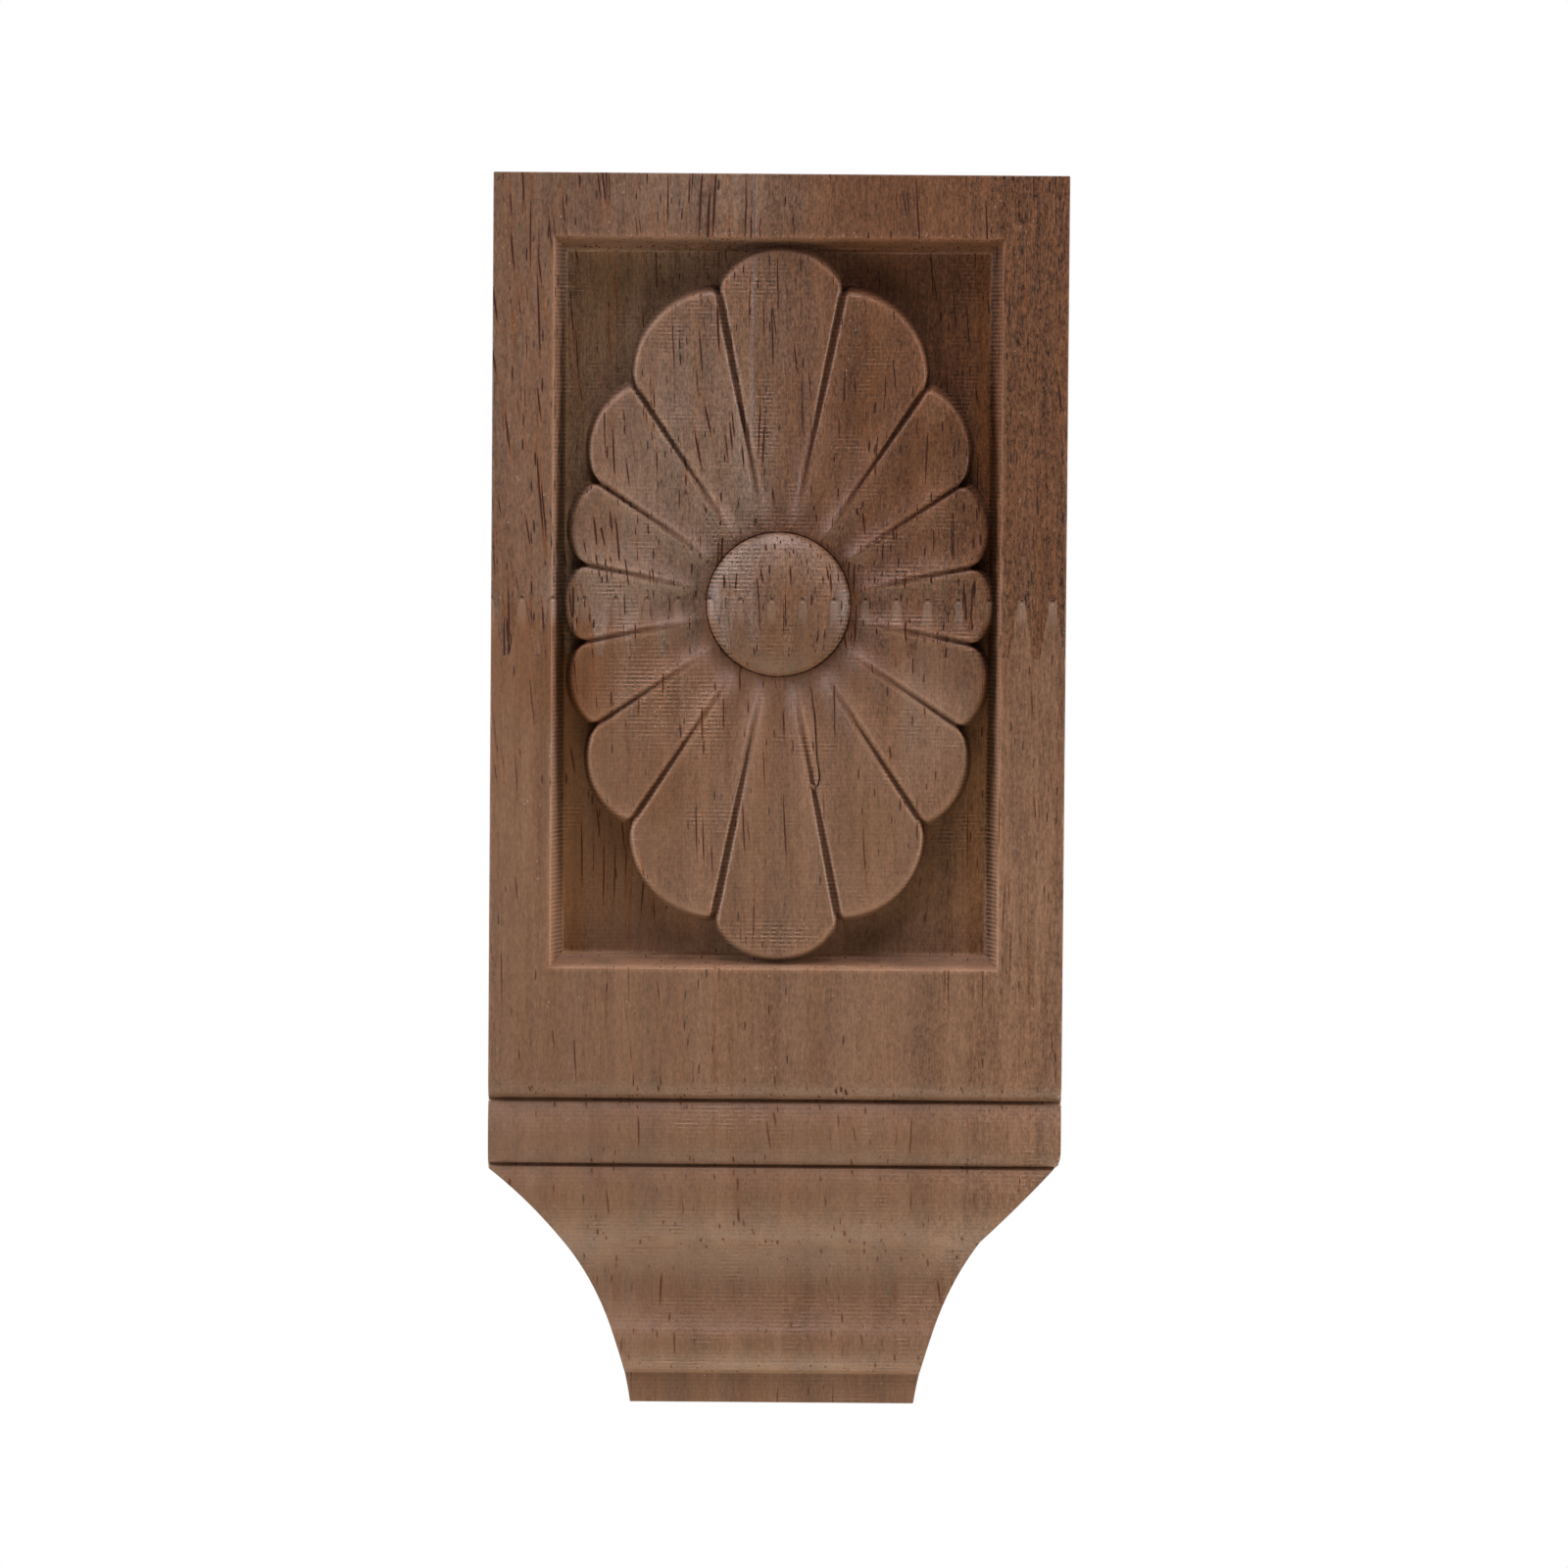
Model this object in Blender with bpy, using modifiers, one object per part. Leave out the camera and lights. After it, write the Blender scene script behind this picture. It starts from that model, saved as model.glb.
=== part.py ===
"""A carved hardwood moulding block: sunk panel with an oval flower, a bead, and a curved foot.

Metres, +Z up. The carved front faces -Y and the flat back lies in the plane y = 0, with the
origin at its middle. Heights below are measured up from the foot's lower edge, and set-backs
are measured back from the flat front face.
"""

import math

import bmesh
import bpy
from mathutils import Vector

MM = 0.001

# Block
WIDTH = 70 * MM
HEIGHT = 150.5 * MM
DEPTH = 28 * MM
MARGIN = 2 * MM  # how far a cutting shape runs past what it cuts

# Foot, seen from the front: the left side is one sweep, the right one starts with a straight saw cut
LEFT_SHOULDER_HEIGHT = 29.1 * MM
LEFT_FOOT_INSET = 17.5 * MM
LEFT_SWEEP_RADIUS = 43.6 * MM
RIGHT_SHOULDER_HEIGHT = 30.2 * MM
RIGHT_FOOT_INSET = 17.7 * MM
RIGHT_SWEEP_RADIUS = 49.9 * MM
SAW_CUT_END_HEIGHT = 20.3 * MM
SAW_CUT_END_INSET = 9.7 * MM
SWEEP_STEPS = 14

# Front profile, from the panel down to the foot
# A tilt is the steepest slope of a moulding, from facing straight forwards.
ROUND_OVER_HEIGHT = 2.8 * MM
ROUND_OVER_TILT = math.radians(50)
BEAD_TOP_HEIGHT = 37.2 * MM
BEAD_BOTTOM_HEIGHT = 29.8 * MM
BEAD_SETBACK = 0.3 * MM
BEAD_TILT = math.radians(28)
QUIRK_GAP = 0.6 * MM  # width of the narrow grooves beside the bead
QUIRK_SETBACK = 2.2 * MM
NOSE_TILT = math.radians(30)
CYMA_CREST_HEIGHT = 25.5 * MM
CYMA_CREST_SETBACK = 0.3 * MM
CYMA_TURN_HEIGHT = 19.7 * MM  # the steepest point
CYMA_TILT = math.radians(40)
COVE_HEIGHT = 14.2 * MM
LIP_TURN_HEIGHT = 9.3 * MM  # the steepest point
LIP_TILT = math.radians(30)
LIP_CREST_HEIGHT = 7.4 * MM
LIP_UNDERSIDE_HEIGHT = 3.8 * MM
LIP_UNDERSIDE_TILT = math.radians(62)
ARC_STEPS = 7

# Sunk panel
PANEL_WIDTH = 54.1 * MM
PANEL_HEIGHT = 89.2 * MM
PANEL_CENTRE_HEIGHT = 98.1 * MM
PANEL_DEPTH = 5 * MM
PANEL_SIDE_DRAFT = 1.05 * MM
PANEL_END_DRAFT = 1.6 * MM

# Flower
PETALS = 16
FLOWER_CENTRE_HEIGHT = 98.2 * MM
NOTCH_HALF_WIDTH = 24.1 * MM  # the notches between petal tips lie on a pointed ellipse
NOTCH_HALF_HEIGHT = 40 * MM
NOTCH_POWER = 1.93  # 2 would be a plain ellipse
PETAL_BULGE = 0.45  # rise of a petal's round tip, over half its chord
END_PETAL_BULGE = 0.69  # the same on the top and bottom petals
TIP_SETBACK = 0.5 * MM  # of the ridges between petals, far out
ROOT_SETBACK = 2.4 * MM  # of the same ridges at the button
DISH_LENGTH = 8 * MM  # how fast the ridges rise outwards from the button
TIP_ROUNDING = 0.7 * MM
HOLLOW_DEPTH = 0.8 * MM  # of a wide petal's hollow, below its ridges
HOLLOW_EASE = 1 * MM  # narrower petals are hollowed less
GROOVE_SETBACK = 1.55 * MM
GROOVE_STEEPNESS = 1.8
GROOVE_EDGE_ROUNDING = 0.3 * MM
FLOWER_DRAFT = math.radians(12)  # the flower's outer wall leans out towards the panel floor
BUTTON_RADIUS = 8.7 * MM
BUTTON_RISE = 2.9 * MM
BUTTON_BASE_SETBACK = 3.2 * MM
BUTTON_STEPS = 48

# Places of the flower's mesh lines: across half a petal, and from its root to its rim
ACROSS_HALF = (0.0, 0.28, 0.52, 0.72, 0.86, 0.94)
ALONG = (0.0, 0.12, 0.3, 0.5, 0.7, 0.88)
RIM_OFFSETS = (0.7 * MM, 0.25 * MM, 0.0)

WOOD_COLOUR = (0.26, 0.145, 0.085, 1.0)
WOOD_ROUGHNESS = 0.62


def clear_scene():
    for thing in list(bpy.data.objects):
        bpy.data.objects.remove(thing, do_unlink=True)


def new_collection(name):
    collection = bpy.data.collections.new(name)
    bpy.context.scene.collection.children.link(collection)
    return collection


def world_height(height):
    return height - HEIGHT / 2


def arc(start, end, radius, steps):
    """Points of the shorter arc from start to end, its centre on the left of that way."""
    chord = Vector(end) - Vector(start)
    middle = (Vector(start) + Vector(end)) / 2
    across = Vector((-chord.y, chord.x)).normalized()
    centre = middle + across * math.sqrt(radius**2 - (chord.length / 2) ** 2)
    first = Vector(start) - centre
    turn = 2 * math.asin(chord.length / 2 / radius)
    points = []
    for step in range(steps + 1):
        angle = turn * step / steps
        points.append(
            centre
            + Vector(
                (
                    first.x * math.cos(angle) - first.y * math.sin(angle),
                    first.x * math.sin(angle) + first.y * math.cos(angle),
                )
            )
        )
    return [tuple(point) for point in points]


def front_outline():
    """The block seen from the front, as (x, z) points, anticlockwise from the top right corner."""
    side, top, bottom = WIDTH / 2, world_height(HEIGHT), world_height(0)
    left_foot = (-side + LEFT_FOOT_INSET, bottom)
    left_shoulder = (-side, world_height(LEFT_SHOULDER_HEIGHT))
    saw_cut_end = (side - SAW_CUT_END_INSET, world_height(SAW_CUT_END_HEIGHT))
    right_foot = (side - RIGHT_FOOT_INSET, bottom)
    left_sweep = arc(left_foot, left_shoulder, LEFT_SWEEP_RADIUS, SWEEP_STEPS)
    right_sweep = arc(saw_cut_end, right_foot, RIGHT_SWEEP_RADIUS, SWEEP_STEPS)
    return (
        [(side, top), (-side, top)]
        + left_sweep[::-1]
        + right_sweep[::-1]
        + [(side, world_height(RIGHT_SHOULDER_HEIGHT))]
    )


def ogee(crest_height, turn_height, cove_height, tilt, crest_setback):
    """Two tangent arcs between a crest and a cove, as (height, set-back) from the crest on.

    tilt is the slope where the arcs meet, at turn_height. Each arc is level at its outer end.
    """
    crest_radius = abs(crest_height - turn_height) / math.sin(tilt)
    cove_radius = abs(turn_height - cove_height) / math.sin(tilt)
    way = math.copysign(1, cove_height - crest_height)
    cove_setback = crest_setback + (crest_radius + cove_radius) * (1 - math.cos(tilt))
    points = []
    for step in range(ARC_STEPS + 1):
        slope = tilt * step / ARC_STEPS
        points.append(
            (
                crest_height + way * crest_radius * math.sin(slope),
                crest_setback + crest_radius * (1 - math.cos(slope)),
            )
        )
    for step in range(1, ARC_STEPS + 1):
        slope = tilt * (1 - step / ARC_STEPS)
        points.append(
            (
                cove_height - way * cove_radius * math.sin(slope),
                cove_setback - cove_radius * (1 - math.cos(slope)),
            )
        )
    return points


def bulge(top_height, bottom_height, tilt, crest_setback):
    """One arc that stands proud between two heights, with that tilt at its edges."""
    radius = (top_height - bottom_height) / 2 / math.sin(tilt)
    middle = (top_height + bottom_height) / 2
    points = []
    for step in range(2 * ARC_STEPS + 1):
        slope = tilt * (step / ARC_STEPS - 1)
        points.append(
            (
                middle - radius * math.sin(slope),
                crest_setback + radius * (1 - math.cos(slope)),
            )
        )
    return points


def rounded_edge(start_height, start_setback, height, tilt):
    """An arc that turns from facing forwards to facing down by that tilt."""
    radius = height / math.sin(tilt)
    points = []
    for step in range(ARC_STEPS + 1):
        slope = tilt * step / ARC_STEPS
        points.append(
            (
                start_height - radius * math.sin(slope),
                start_setback + radius * (1 - math.cos(slope)),
            )
        )
    return points


def front_profile():
    """The front surface from the top of the block to its foot, as (height, set-back) points."""
    upper_quirk = BEAD_TOP_HEIGHT + QUIRK_GAP / 2
    lower_quirk = BEAD_BOTTOM_HEIGHT - QUIRK_GAP / 2
    edge_height = BEAD_TOP_HEIGHT + QUIRK_GAP + ROUND_OVER_HEIGHT
    round_over = rounded_edge(edge_height, 0, ROUND_OVER_HEIGHT, ROUND_OVER_TILT)
    bead = bulge(BEAD_TOP_HEIGHT, BEAD_BOTTOM_HEIGHT, BEAD_TILT, BEAD_SETBACK)
    nose_height = BEAD_BOTTOM_HEIGHT - QUIRK_GAP
    nose = bulge(
        nose_height,
        2 * CYMA_CREST_HEIGHT - nose_height,
        NOSE_TILT,
        CYMA_CREST_SETBACK,
    )[:ARC_STEPS]
    cyma = ogee(
        CYMA_CREST_HEIGHT, CYMA_TURN_HEIGHT, COVE_HEIGHT, CYMA_TILT, CYMA_CREST_SETBACK
    )
    lip_rise = ogee(LIP_CREST_HEIGHT, LIP_TURN_HEIGHT, COVE_HEIGHT, LIP_TILT, 0)
    lip_setback = cyma[-1][1] - lip_rise[-1][1]
    rise = [(height, lip_setback + setback) for height, setback in lip_rise[::-1]]
    lip = rounded_edge(LIP_CREST_HEIGHT, lip_setback, LIP_UNDERSIDE_HEIGHT, LIP_UNDERSIDE_TILT)
    return (
        [(HEIGHT + MARGIN, 0)]
        + round_over
        + [(upper_quirk, QUIRK_SETBACK)]
        + bead
        + [(lower_quirk, QUIRK_SETBACK)]
        + nose
        + cyma
        + rise[1:]
        + lip[1:]
        + [(-MARGIN, lip[-1][1])]
    )


def outline_solid(name, points, thickness, collection):
    """A flat outline given thickness, as a mesh object in the curve's own XY plane."""
    curve = bpy.data.curves.new(name, "CURVE")
    curve.dimensions = "2D"
    curve.fill_mode = "BOTH"
    curve.extrude = thickness / 2
    spline = curve.splines.new("POLY")
    spline.points.add(len(points) - 1)
    for point, (across, up) in zip(spline.points, points):
        point.co = (across, up, 0, 1)
    spline.use_cyclic_u = True
    flat = bpy.data.objects.new(name + "_outline", curve)
    collection.objects.link(flat)
    solid = mesh_of(flat, name, collection)
    bpy.data.objects.remove(flat)
    bpy.data.curves.remove(curve)
    return solid


def mesh_of(source, name, collection):
    """A new object that holds the source's evaluated shape, with its seams welded."""
    evaluated = source.evaluated_get(bpy.context.evaluated_depsgraph_get())
    mesh = bpy.data.meshes.new_from_object(evaluated)
    mesh.name = name
    shape = bmesh.new()
    shape.from_mesh(mesh)
    bmesh.ops.remove_doubles(shape, verts=shape.verts, dist=MM / 1000)
    bmesh.ops.recalc_face_normals(shape, faces=shape.faces)
    shape.to_mesh(mesh)
    shape.free()
    solid = bpy.data.objects.new(name, mesh)
    solid.matrix_world = source.matrix_world
    collection.objects.link(solid)
    return solid


def as_cutter(thing):
    thing.hide_render = True
    thing.display_type = "WIRE"
    return thing


def add_boolean(thing, operation, other):
    modifier = thing.modifiers.new(other.name, "BOOLEAN")
    modifier.operation = operation
    modifier.object = other
    modifier.solver = "EXACT"


def make_blank(collection):
    """The sawn blank, a little thicker at the front than the finished block."""
    thickness = DEPTH + MARGIN
    blank = outline_solid("carved_block", front_outline(), thickness, collection)
    blank.rotation_euler = (math.pi / 2, 0, 0)
    blank.location = (0, -thickness / 2, 0)
    return blank


def make_profile(collection):
    """The front profile drawn across the whole width. The blank keeps what lies inside it."""
    section = [(-DEPTH + setback, world_height(height)) for height, setback in front_profile()]
    section += [(MARGIN, world_height(-MARGIN)), (MARGIN, world_height(HEIGHT + MARGIN))]
    profile = outline_solid("front_profile", section, WIDTH + 2 * MARGIN, collection)
    profile.rotation_euler = (math.pi / 2, 0, math.pi / 2)
    return as_cutter(profile)


def make_panel_cutter(collection):
    """The sunk panel's space, wider at the front: a block with a smaller inner face."""
    bpy.ops.mesh.primitive_cube_add(size=1)
    cutter = bpy.context.object
    cutter.name = "panel_space"
    for parent in list(cutter.users_collection):
        parent.objects.unlink(cutter)
    collection.objects.link(cutter)
    past_face = (PANEL_DEPTH + MARGIN) / PANEL_DEPTH
    for vertex in cutter.data.vertices:
        inner = vertex.co.y > 0
        draft = 0 if inner else past_face
        half_width = PANEL_WIDTH / 2 - PANEL_SIDE_DRAFT * (1 - draft)
        half_height = PANEL_HEIGHT / 2 - PANEL_END_DRAFT * (1 - draft)
        vertex.co.x = math.copysign(half_width, vertex.co.x)
        vertex.co.z = math.copysign(half_height, vertex.co.z)
        vertex.co.y = -DEPTH + PANEL_DEPTH if inner else -DEPTH - MARGIN
    cutter.location = (0, 0, world_height(PANEL_CENTRE_HEIGHT))
    return as_cutter(cutter)


def notch(angle):
    """The point of the notches' curve at that angle from upright, as (x, z)."""
    across, up = math.sin(angle), math.cos(angle)
    reach = (
        abs(across / NOTCH_HALF_WIDTH) ** NOTCH_POWER + abs(up / NOTCH_HALF_HEIGHT) ** NOTCH_POWER
    ) ** (-1 / NOTCH_POWER)
    return Vector((reach * across, reach * up))


def rim_radius(petal, across):
    """Distance from the flower's middle to the petal's round tip. across is -1 to 1."""
    pitch = 2 * math.pi / PETALS
    first, last = notch((petal - 0.5) * pitch), notch((petal + 0.5) * pitch)
    half_chord = (last - first).length / 2
    share = END_PETAL_BULGE if petal % (PETALS // 2) == 0 else PETAL_BULGE
    rise = share * half_chord
    radius = (half_chord**2 + rise**2) / (2 * rise)
    middle = (first + last) / 2
    chord = (last - first).normalized()
    centre = middle - Vector((-chord.y, chord.x)) * (radius - rise)
    angle = (petal + across / 2) * pitch
    ray = Vector((math.sin(angle), math.cos(angle)))
    along = ray.dot(centre)
    return along + math.sqrt(max(0, radius**2 - (centre.length_squared - along**2)))


def blended_maximum(first, second, width):
    """The larger of two values, with the corner between them rounded over that width."""
    return (first + second + math.hypot(first - second, width)) / 2


def petal_setback(across, radius, rim):
    """How far back the petal's surface lies, between its grooves and from root to rim."""
    half_width = radius * math.sin(math.pi / PETALS)
    fall = math.exp((BUTTON_RADIUS - radius) / DISH_LENGTH)
    ridge = TIP_SETBACK + (ROOT_SETBACK - TIP_SETBACK) * fall
    hollow = HOLLOW_DEPTH * half_width / (half_width + HOLLOW_EASE) * (1 - across**2)
    to_groove = (1 - abs(across)) * half_width
    groove = GROOVE_SETBACK - GROOVE_STEEPNESS * to_groove
    from_rim = min(TIP_ROUNDING, rim - radius)
    drop = TIP_ROUNDING - math.sqrt(TIP_ROUNDING**2 - (TIP_ROUNDING - from_rim) ** 2)
    return blended_maximum(ridge + hollow + drop, groove, GROOVE_EDGE_ROUNDING)


def make_flower(collection):
    """A turned disc whose points are moved out to the petals' tips and carved to depth."""
    stations = len(ALONG) + len(RIM_OFFSETS)
    columns = sorted({-share for share in ACROSS_HALF} | set(ACROSS_HALF) | {-1.0})
    profile = bpy.data.meshes.new("flower_profile")
    line = [(0, 0, 1)] + [(station + 1, 0, 1) for station in range(stations)]
    line += [(stations, 0, 0), (0, 0, 0)]
    profile.from_pydata(line, [(i, i + 1) for i in range(len(line) - 1)], [])
    turned = bpy.data.objects.new("flower_profile", profile)
    collection.objects.link(turned)
    screw = turned.modifiers.new("turn", "SCREW")
    screw.axis = "Z"
    screw.steps = screw.render_steps = PETALS * len(columns)
    screw.use_merge_vertices = True
    screw.merge_threshold = MM / 1000
    flower = mesh_of(turned, "flower", collection)
    bpy.data.objects.remove(turned)
    bpy.data.meshes.remove(profile)

    centre = Vector((0, -DEPTH, world_height(FLOWER_CENTRE_HEIGHT)))
    bed = PANEL_DEPTH + MARGIN / 2
    step = 2 * math.pi / (PETALS * len(columns))
    for vertex in flower.data.vertices:
        on_top = vertex.co.z > 0.5
        station = round(math.hypot(vertex.co.x, vertex.co.y)) - 1
        if station < 0:
            setback = BUTTON_BASE_SETBACK if on_top else bed
            vertex.co = centre + Vector((0, setback, 0))
            continue
        turn = round(math.atan2(vertex.co.x, vertex.co.y) / step) % (PETALS * len(columns))
        petal, column = divmod(turn, len(columns))
        across = columns[column]
        rim = rim_radius(petal, across)
        if station < len(ALONG):
            start = BUTTON_RADIUS - MM
            radius = start + ALONG[station] * (rim - RIM_OFFSETS[0] - start)
        else:
            radius = rim - RIM_OFFSETS[station - len(ALONG)]
        setback = petal_setback(across, radius, rim)
        if not on_top:
            radius += (bed - setback) * math.tan(FLOWER_DRAFT)
            setback = bed
        angle = (petal + across / 2) * 2 * math.pi / PETALS
        vertex.co = centre + Vector(
            (radius * math.sin(angle), setback, radius * math.cos(angle))
        )
    shape = bmesh.new()
    shape.from_mesh(flower.data)
    bmesh.ops.recalc_face_normals(shape, faces=shape.faces)
    shape.to_mesh(flower.data)
    shape.free()
    return as_cutter(flower)


def make_button(collection):
    """The flower's domed middle, the front of a flattened ball sunk in the petals' roots."""
    bpy.ops.mesh.primitive_uv_sphere_add(
        segments=BUTTON_STEPS, ring_count=BUTTON_STEPS // 2, radius=BUTTON_RADIUS
    )
    ball = bpy.context.object
    ball.name = "button"
    for parent in list(ball.users_collection):
        parent.objects.unlink(ball)
    collection.objects.link(ball)
    ball.scale = (1, 1, BUTTON_RISE / BUTTON_RADIUS)
    ball.rotation_euler = (math.pi / 2, 0, 0)
    ball.location = (0, -DEPTH + BUTTON_BASE_SETBACK, world_height(FLOWER_CENTRE_HEIGHT))
    return as_cutter(ball)


def wood():
    material = bpy.data.materials.new("wood")
    material.use_nodes = True
    shader = material.node_tree.nodes["Principled BSDF"]
    shader.inputs["Base Color"].default_value = WOOD_COLOUR
    shader.inputs["Roughness"].default_value = WOOD_ROUGHNESS
    shader.inputs["Metallic"].default_value = 0
    return material


def main():
    clear_scene()
    parts = new_collection("carved_wood_moulding")
    cutters = new_collection("cutters")
    block = make_blank(parts)
    add_boolean(block, "INTERSECT", make_profile(cutters))
    add_boolean(block, "DIFFERENCE", make_panel_cutter(cutters))
    add_boolean(block, "UNION", make_flower(cutters))
    add_boolean(block, "UNION", make_button(cutters))
    block.data.materials.append(wood())


main()
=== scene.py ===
from math import atan2, cos, exp, hypot, pi, radians, sin, sqrt, tan
from types import SimpleNamespace

import bmesh
import bpy
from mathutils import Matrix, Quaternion, Vector, noise


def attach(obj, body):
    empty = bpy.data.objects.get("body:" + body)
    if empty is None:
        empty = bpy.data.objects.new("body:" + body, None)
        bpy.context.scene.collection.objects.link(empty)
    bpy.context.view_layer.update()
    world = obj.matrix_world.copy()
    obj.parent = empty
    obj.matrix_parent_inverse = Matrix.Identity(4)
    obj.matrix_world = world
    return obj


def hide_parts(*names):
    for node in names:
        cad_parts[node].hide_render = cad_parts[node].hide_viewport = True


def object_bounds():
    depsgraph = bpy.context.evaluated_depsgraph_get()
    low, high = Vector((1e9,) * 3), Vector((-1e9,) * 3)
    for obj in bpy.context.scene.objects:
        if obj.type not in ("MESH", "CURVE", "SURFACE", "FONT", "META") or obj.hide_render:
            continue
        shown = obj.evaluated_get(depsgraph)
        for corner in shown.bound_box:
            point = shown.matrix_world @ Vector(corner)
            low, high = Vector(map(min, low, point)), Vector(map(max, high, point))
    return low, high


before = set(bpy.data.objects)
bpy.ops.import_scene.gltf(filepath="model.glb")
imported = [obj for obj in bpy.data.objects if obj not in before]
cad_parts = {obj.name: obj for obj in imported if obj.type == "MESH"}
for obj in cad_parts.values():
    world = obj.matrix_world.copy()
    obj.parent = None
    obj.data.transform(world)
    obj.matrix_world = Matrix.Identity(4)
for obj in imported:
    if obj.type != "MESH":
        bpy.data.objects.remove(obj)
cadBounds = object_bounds()
low, high = cadBounds
mm = 0.001


def report(stage):
    print("carved moulding:", stage)


def fromFoot(height):  # heights are in mm, up from the foot's lower edge
    return low.z + height * mm


def mmUp(height):  # the same place in mm
    return fromFoot(height) / mm


def fromFace(setback):  # set-backs are in mm, behind the flat front face
    return low.y + setback * mm


def deselectAll():
    bpy.ops.object.select_all(action="DESELECT")


# outlines are traced from one point on, by straight runs and arcs


def startTrace(name, point):
    deselectAll()
    bpy.ops.mesh.primitive_plane_add(size=mm)
    piece = bpy.context.object
    piece.name = piece.data.name = name
    bpy.ops.object.mode_set(mode="EDIT")
    bpy.ops.mesh.select_mode(type="VERT")
    bpy.ops.mesh.select_all(action="SELECT")
    bpy.ops.mesh.merge(type="CENTER")
    bpy.ops.transform.translate(value=point)
    return Vector(point)


def extrude(offset):
    bpy.ops.mesh.extrude_region_move(TRANSFORM_OT_translate={"value": offset})


def lineTo(here, there):
    extrude(Vector(there) - here)
    return Vector(there)


def arcTo(here, there, turn, axis, steps):  # turn is in degrees, right-handed about the axis
    there, axis, turn = Vector(there), Vector(axis), radians(turn)
    chord = there - here
    centre = (here + there) / 2 + axis.cross(chord) / 2 / tan(turn / 2)
    bpy.ops.mesh.spin(steps=steps, angle=-turn, center=centre, axis=axis)
    return there


def finishPiece():
    bpy.ops.mesh.select_all(action="SELECT")
    bpy.ops.mesh.normals_make_consistent(inside=False)
    bpy.ops.object.mode_set(mode="OBJECT")
    return bpy.context.object


def finishTrace(thickness):  # closes and fills the outline
    bpy.ops.mesh.select_all(action="SELECT")
    bpy.ops.mesh.remove_doubles(threshold=mm / 500)
    bpy.ops.mesh.edge_face_add()
    extrude(thickness)
    return finishPiece()


def selectOnly(piece):
    deselectAll()
    bpy.context.view_layer.objects.active = piece
    piece.select_set(True)


def carve(piece, operation, tool):  # the tool is used up
    modifier = piece.modifiers.new(tool.name, "BOOLEAN")
    modifier.operation = operation
    modifier.object = tool
    modifier.solver = "EXACT"
    selectOnly(piece)
    bpy.ops.object.modifier_apply(modifier=modifier.name)
    bpy.data.objects.remove(tool, do_unlink=True)


# the block, moulded on its front

moulding = {
    "edge": 40.6,  # heights of the changes of curve
    "roundOverFoot": 37.8,
    "upperQuirk": 37.5,
    "beadTop": 37.2,
    "beadFoot": 29.8,
    "lowerQuirk": 29.5,
    "noseTop": 29.2,
    "crest": 25.5,
    "cymaTurn": 19.7,
    "cove": 14.2,
    "lipTurn": 9.3,
    "lipCrest": 7.4,
    "lipFoot": 3.6,
    "roundOverTilt": 50,  # steepest slopes in degrees
    "beadTilt": 28,
    "noseTilt": 30,
    "cymaTilt": 40,
    "lipTilt": 30,
    "lipFootTilt": 62,
    "quirkSetback": 2.2,
    "beadSetback": 0.3,
    "arcSteps": 14,
}


def rise(first, second, tilt):  # depth that an arc gains between two heights
    return abs(first - second) * tan(radians(tilt) / 2)


def mouldedBlock(m):
    side, across = low.x, (1, 0, 0)
    beadEdge = m["beadSetback"] + rise(m["beadTop"], m["beadFoot"], m["beadTilt"]) / 2
    noseEdge = m["beadSetback"] + rise(m["noseTop"], m["crest"], m["noseTilt"])
    turn = m["beadSetback"] + rise(m["crest"], m["cymaTurn"], m["cymaTilt"])
    cove = turn + rise(m["cymaTurn"], m["cove"], m["cymaTilt"])
    lipTurn = cove - rise(m["cove"], m["lipTurn"], m["lipTilt"])
    lip = lipTurn - rise(m["lipTurn"], m["lipCrest"], m["lipTilt"])
    fascia = lip + rise(m["lipCrest"], m["lipFoot"], m["lipFootTilt"])
    roundOver = rise(m["edge"], m["roundOverFoot"], m["roundOverTilt"])
    runs = [
        (0, m["edge"], 0),
        (roundOver, m["roundOverFoot"], m["roundOverTilt"]),
        (m["quirkSetback"], m["upperQuirk"], 0),
        (beadEdge, m["beadTop"], 0),
        (beadEdge, m["beadFoot"], 2 * m["beadTilt"]),
        (m["quirkSetback"], m["lowerQuirk"], 0),
        (noseEdge, m["noseTop"], 0),
        (m["beadSetback"], m["crest"], m["noseTilt"]),
        (turn, m["cymaTurn"], m["cymaTilt"]),
        (cove, m["cove"], -m["cymaTilt"]),
        (lipTurn, m["lipTurn"], -m["lipTilt"]),
        (lip, m["lipCrest"], m["lipTilt"]),
        (fascia, m["lipFoot"], m["lipFootTilt"]),
        (fascia, 0, 0),
    ]
    here = startTrace("carvedBlock", (side, low.y, high.z))
    for setback, height, bend in runs:
        there = (side, fromFace(setback), fromFoot(height))
        here = arcTo(here, there, bend, across, m["arcSteps"]) if bend else lineTo(here, there)
    here = lineTo(here, (side, high.y, low.z))
    here = lineTo(here, (side, high.y, high.z))
    return finishTrace((high.x - low.x, 0, 0))


carvedBlock = mouldedBlock(moulding)
report("block moulded")

# the foot's two sides, sawn to a sweep

footSides = {
    "leftShoulder": 29.1,  # heights
    "leftInset": 17.5,  # of the sweep's lower end, from the block's side
    "leftTurn": 45.8,  # degrees that the sweep turns through
    "rightShoulder": 30.2,
    "sawCutEnd": 20.3,
    "sawCutInset": 9.7,
    "rightInset": 17.7,
    "rightTurn": 25.3,
    "leftBlunt": 0.4,  # of the shoulders
    "rightBlunt": 0.8,
    "bluntShape": ((0, 0.6), (0.3, -0.35)),  # inset and height, in shares of it
    "arcSteps": 28,
    "margin": 3,
}


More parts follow.
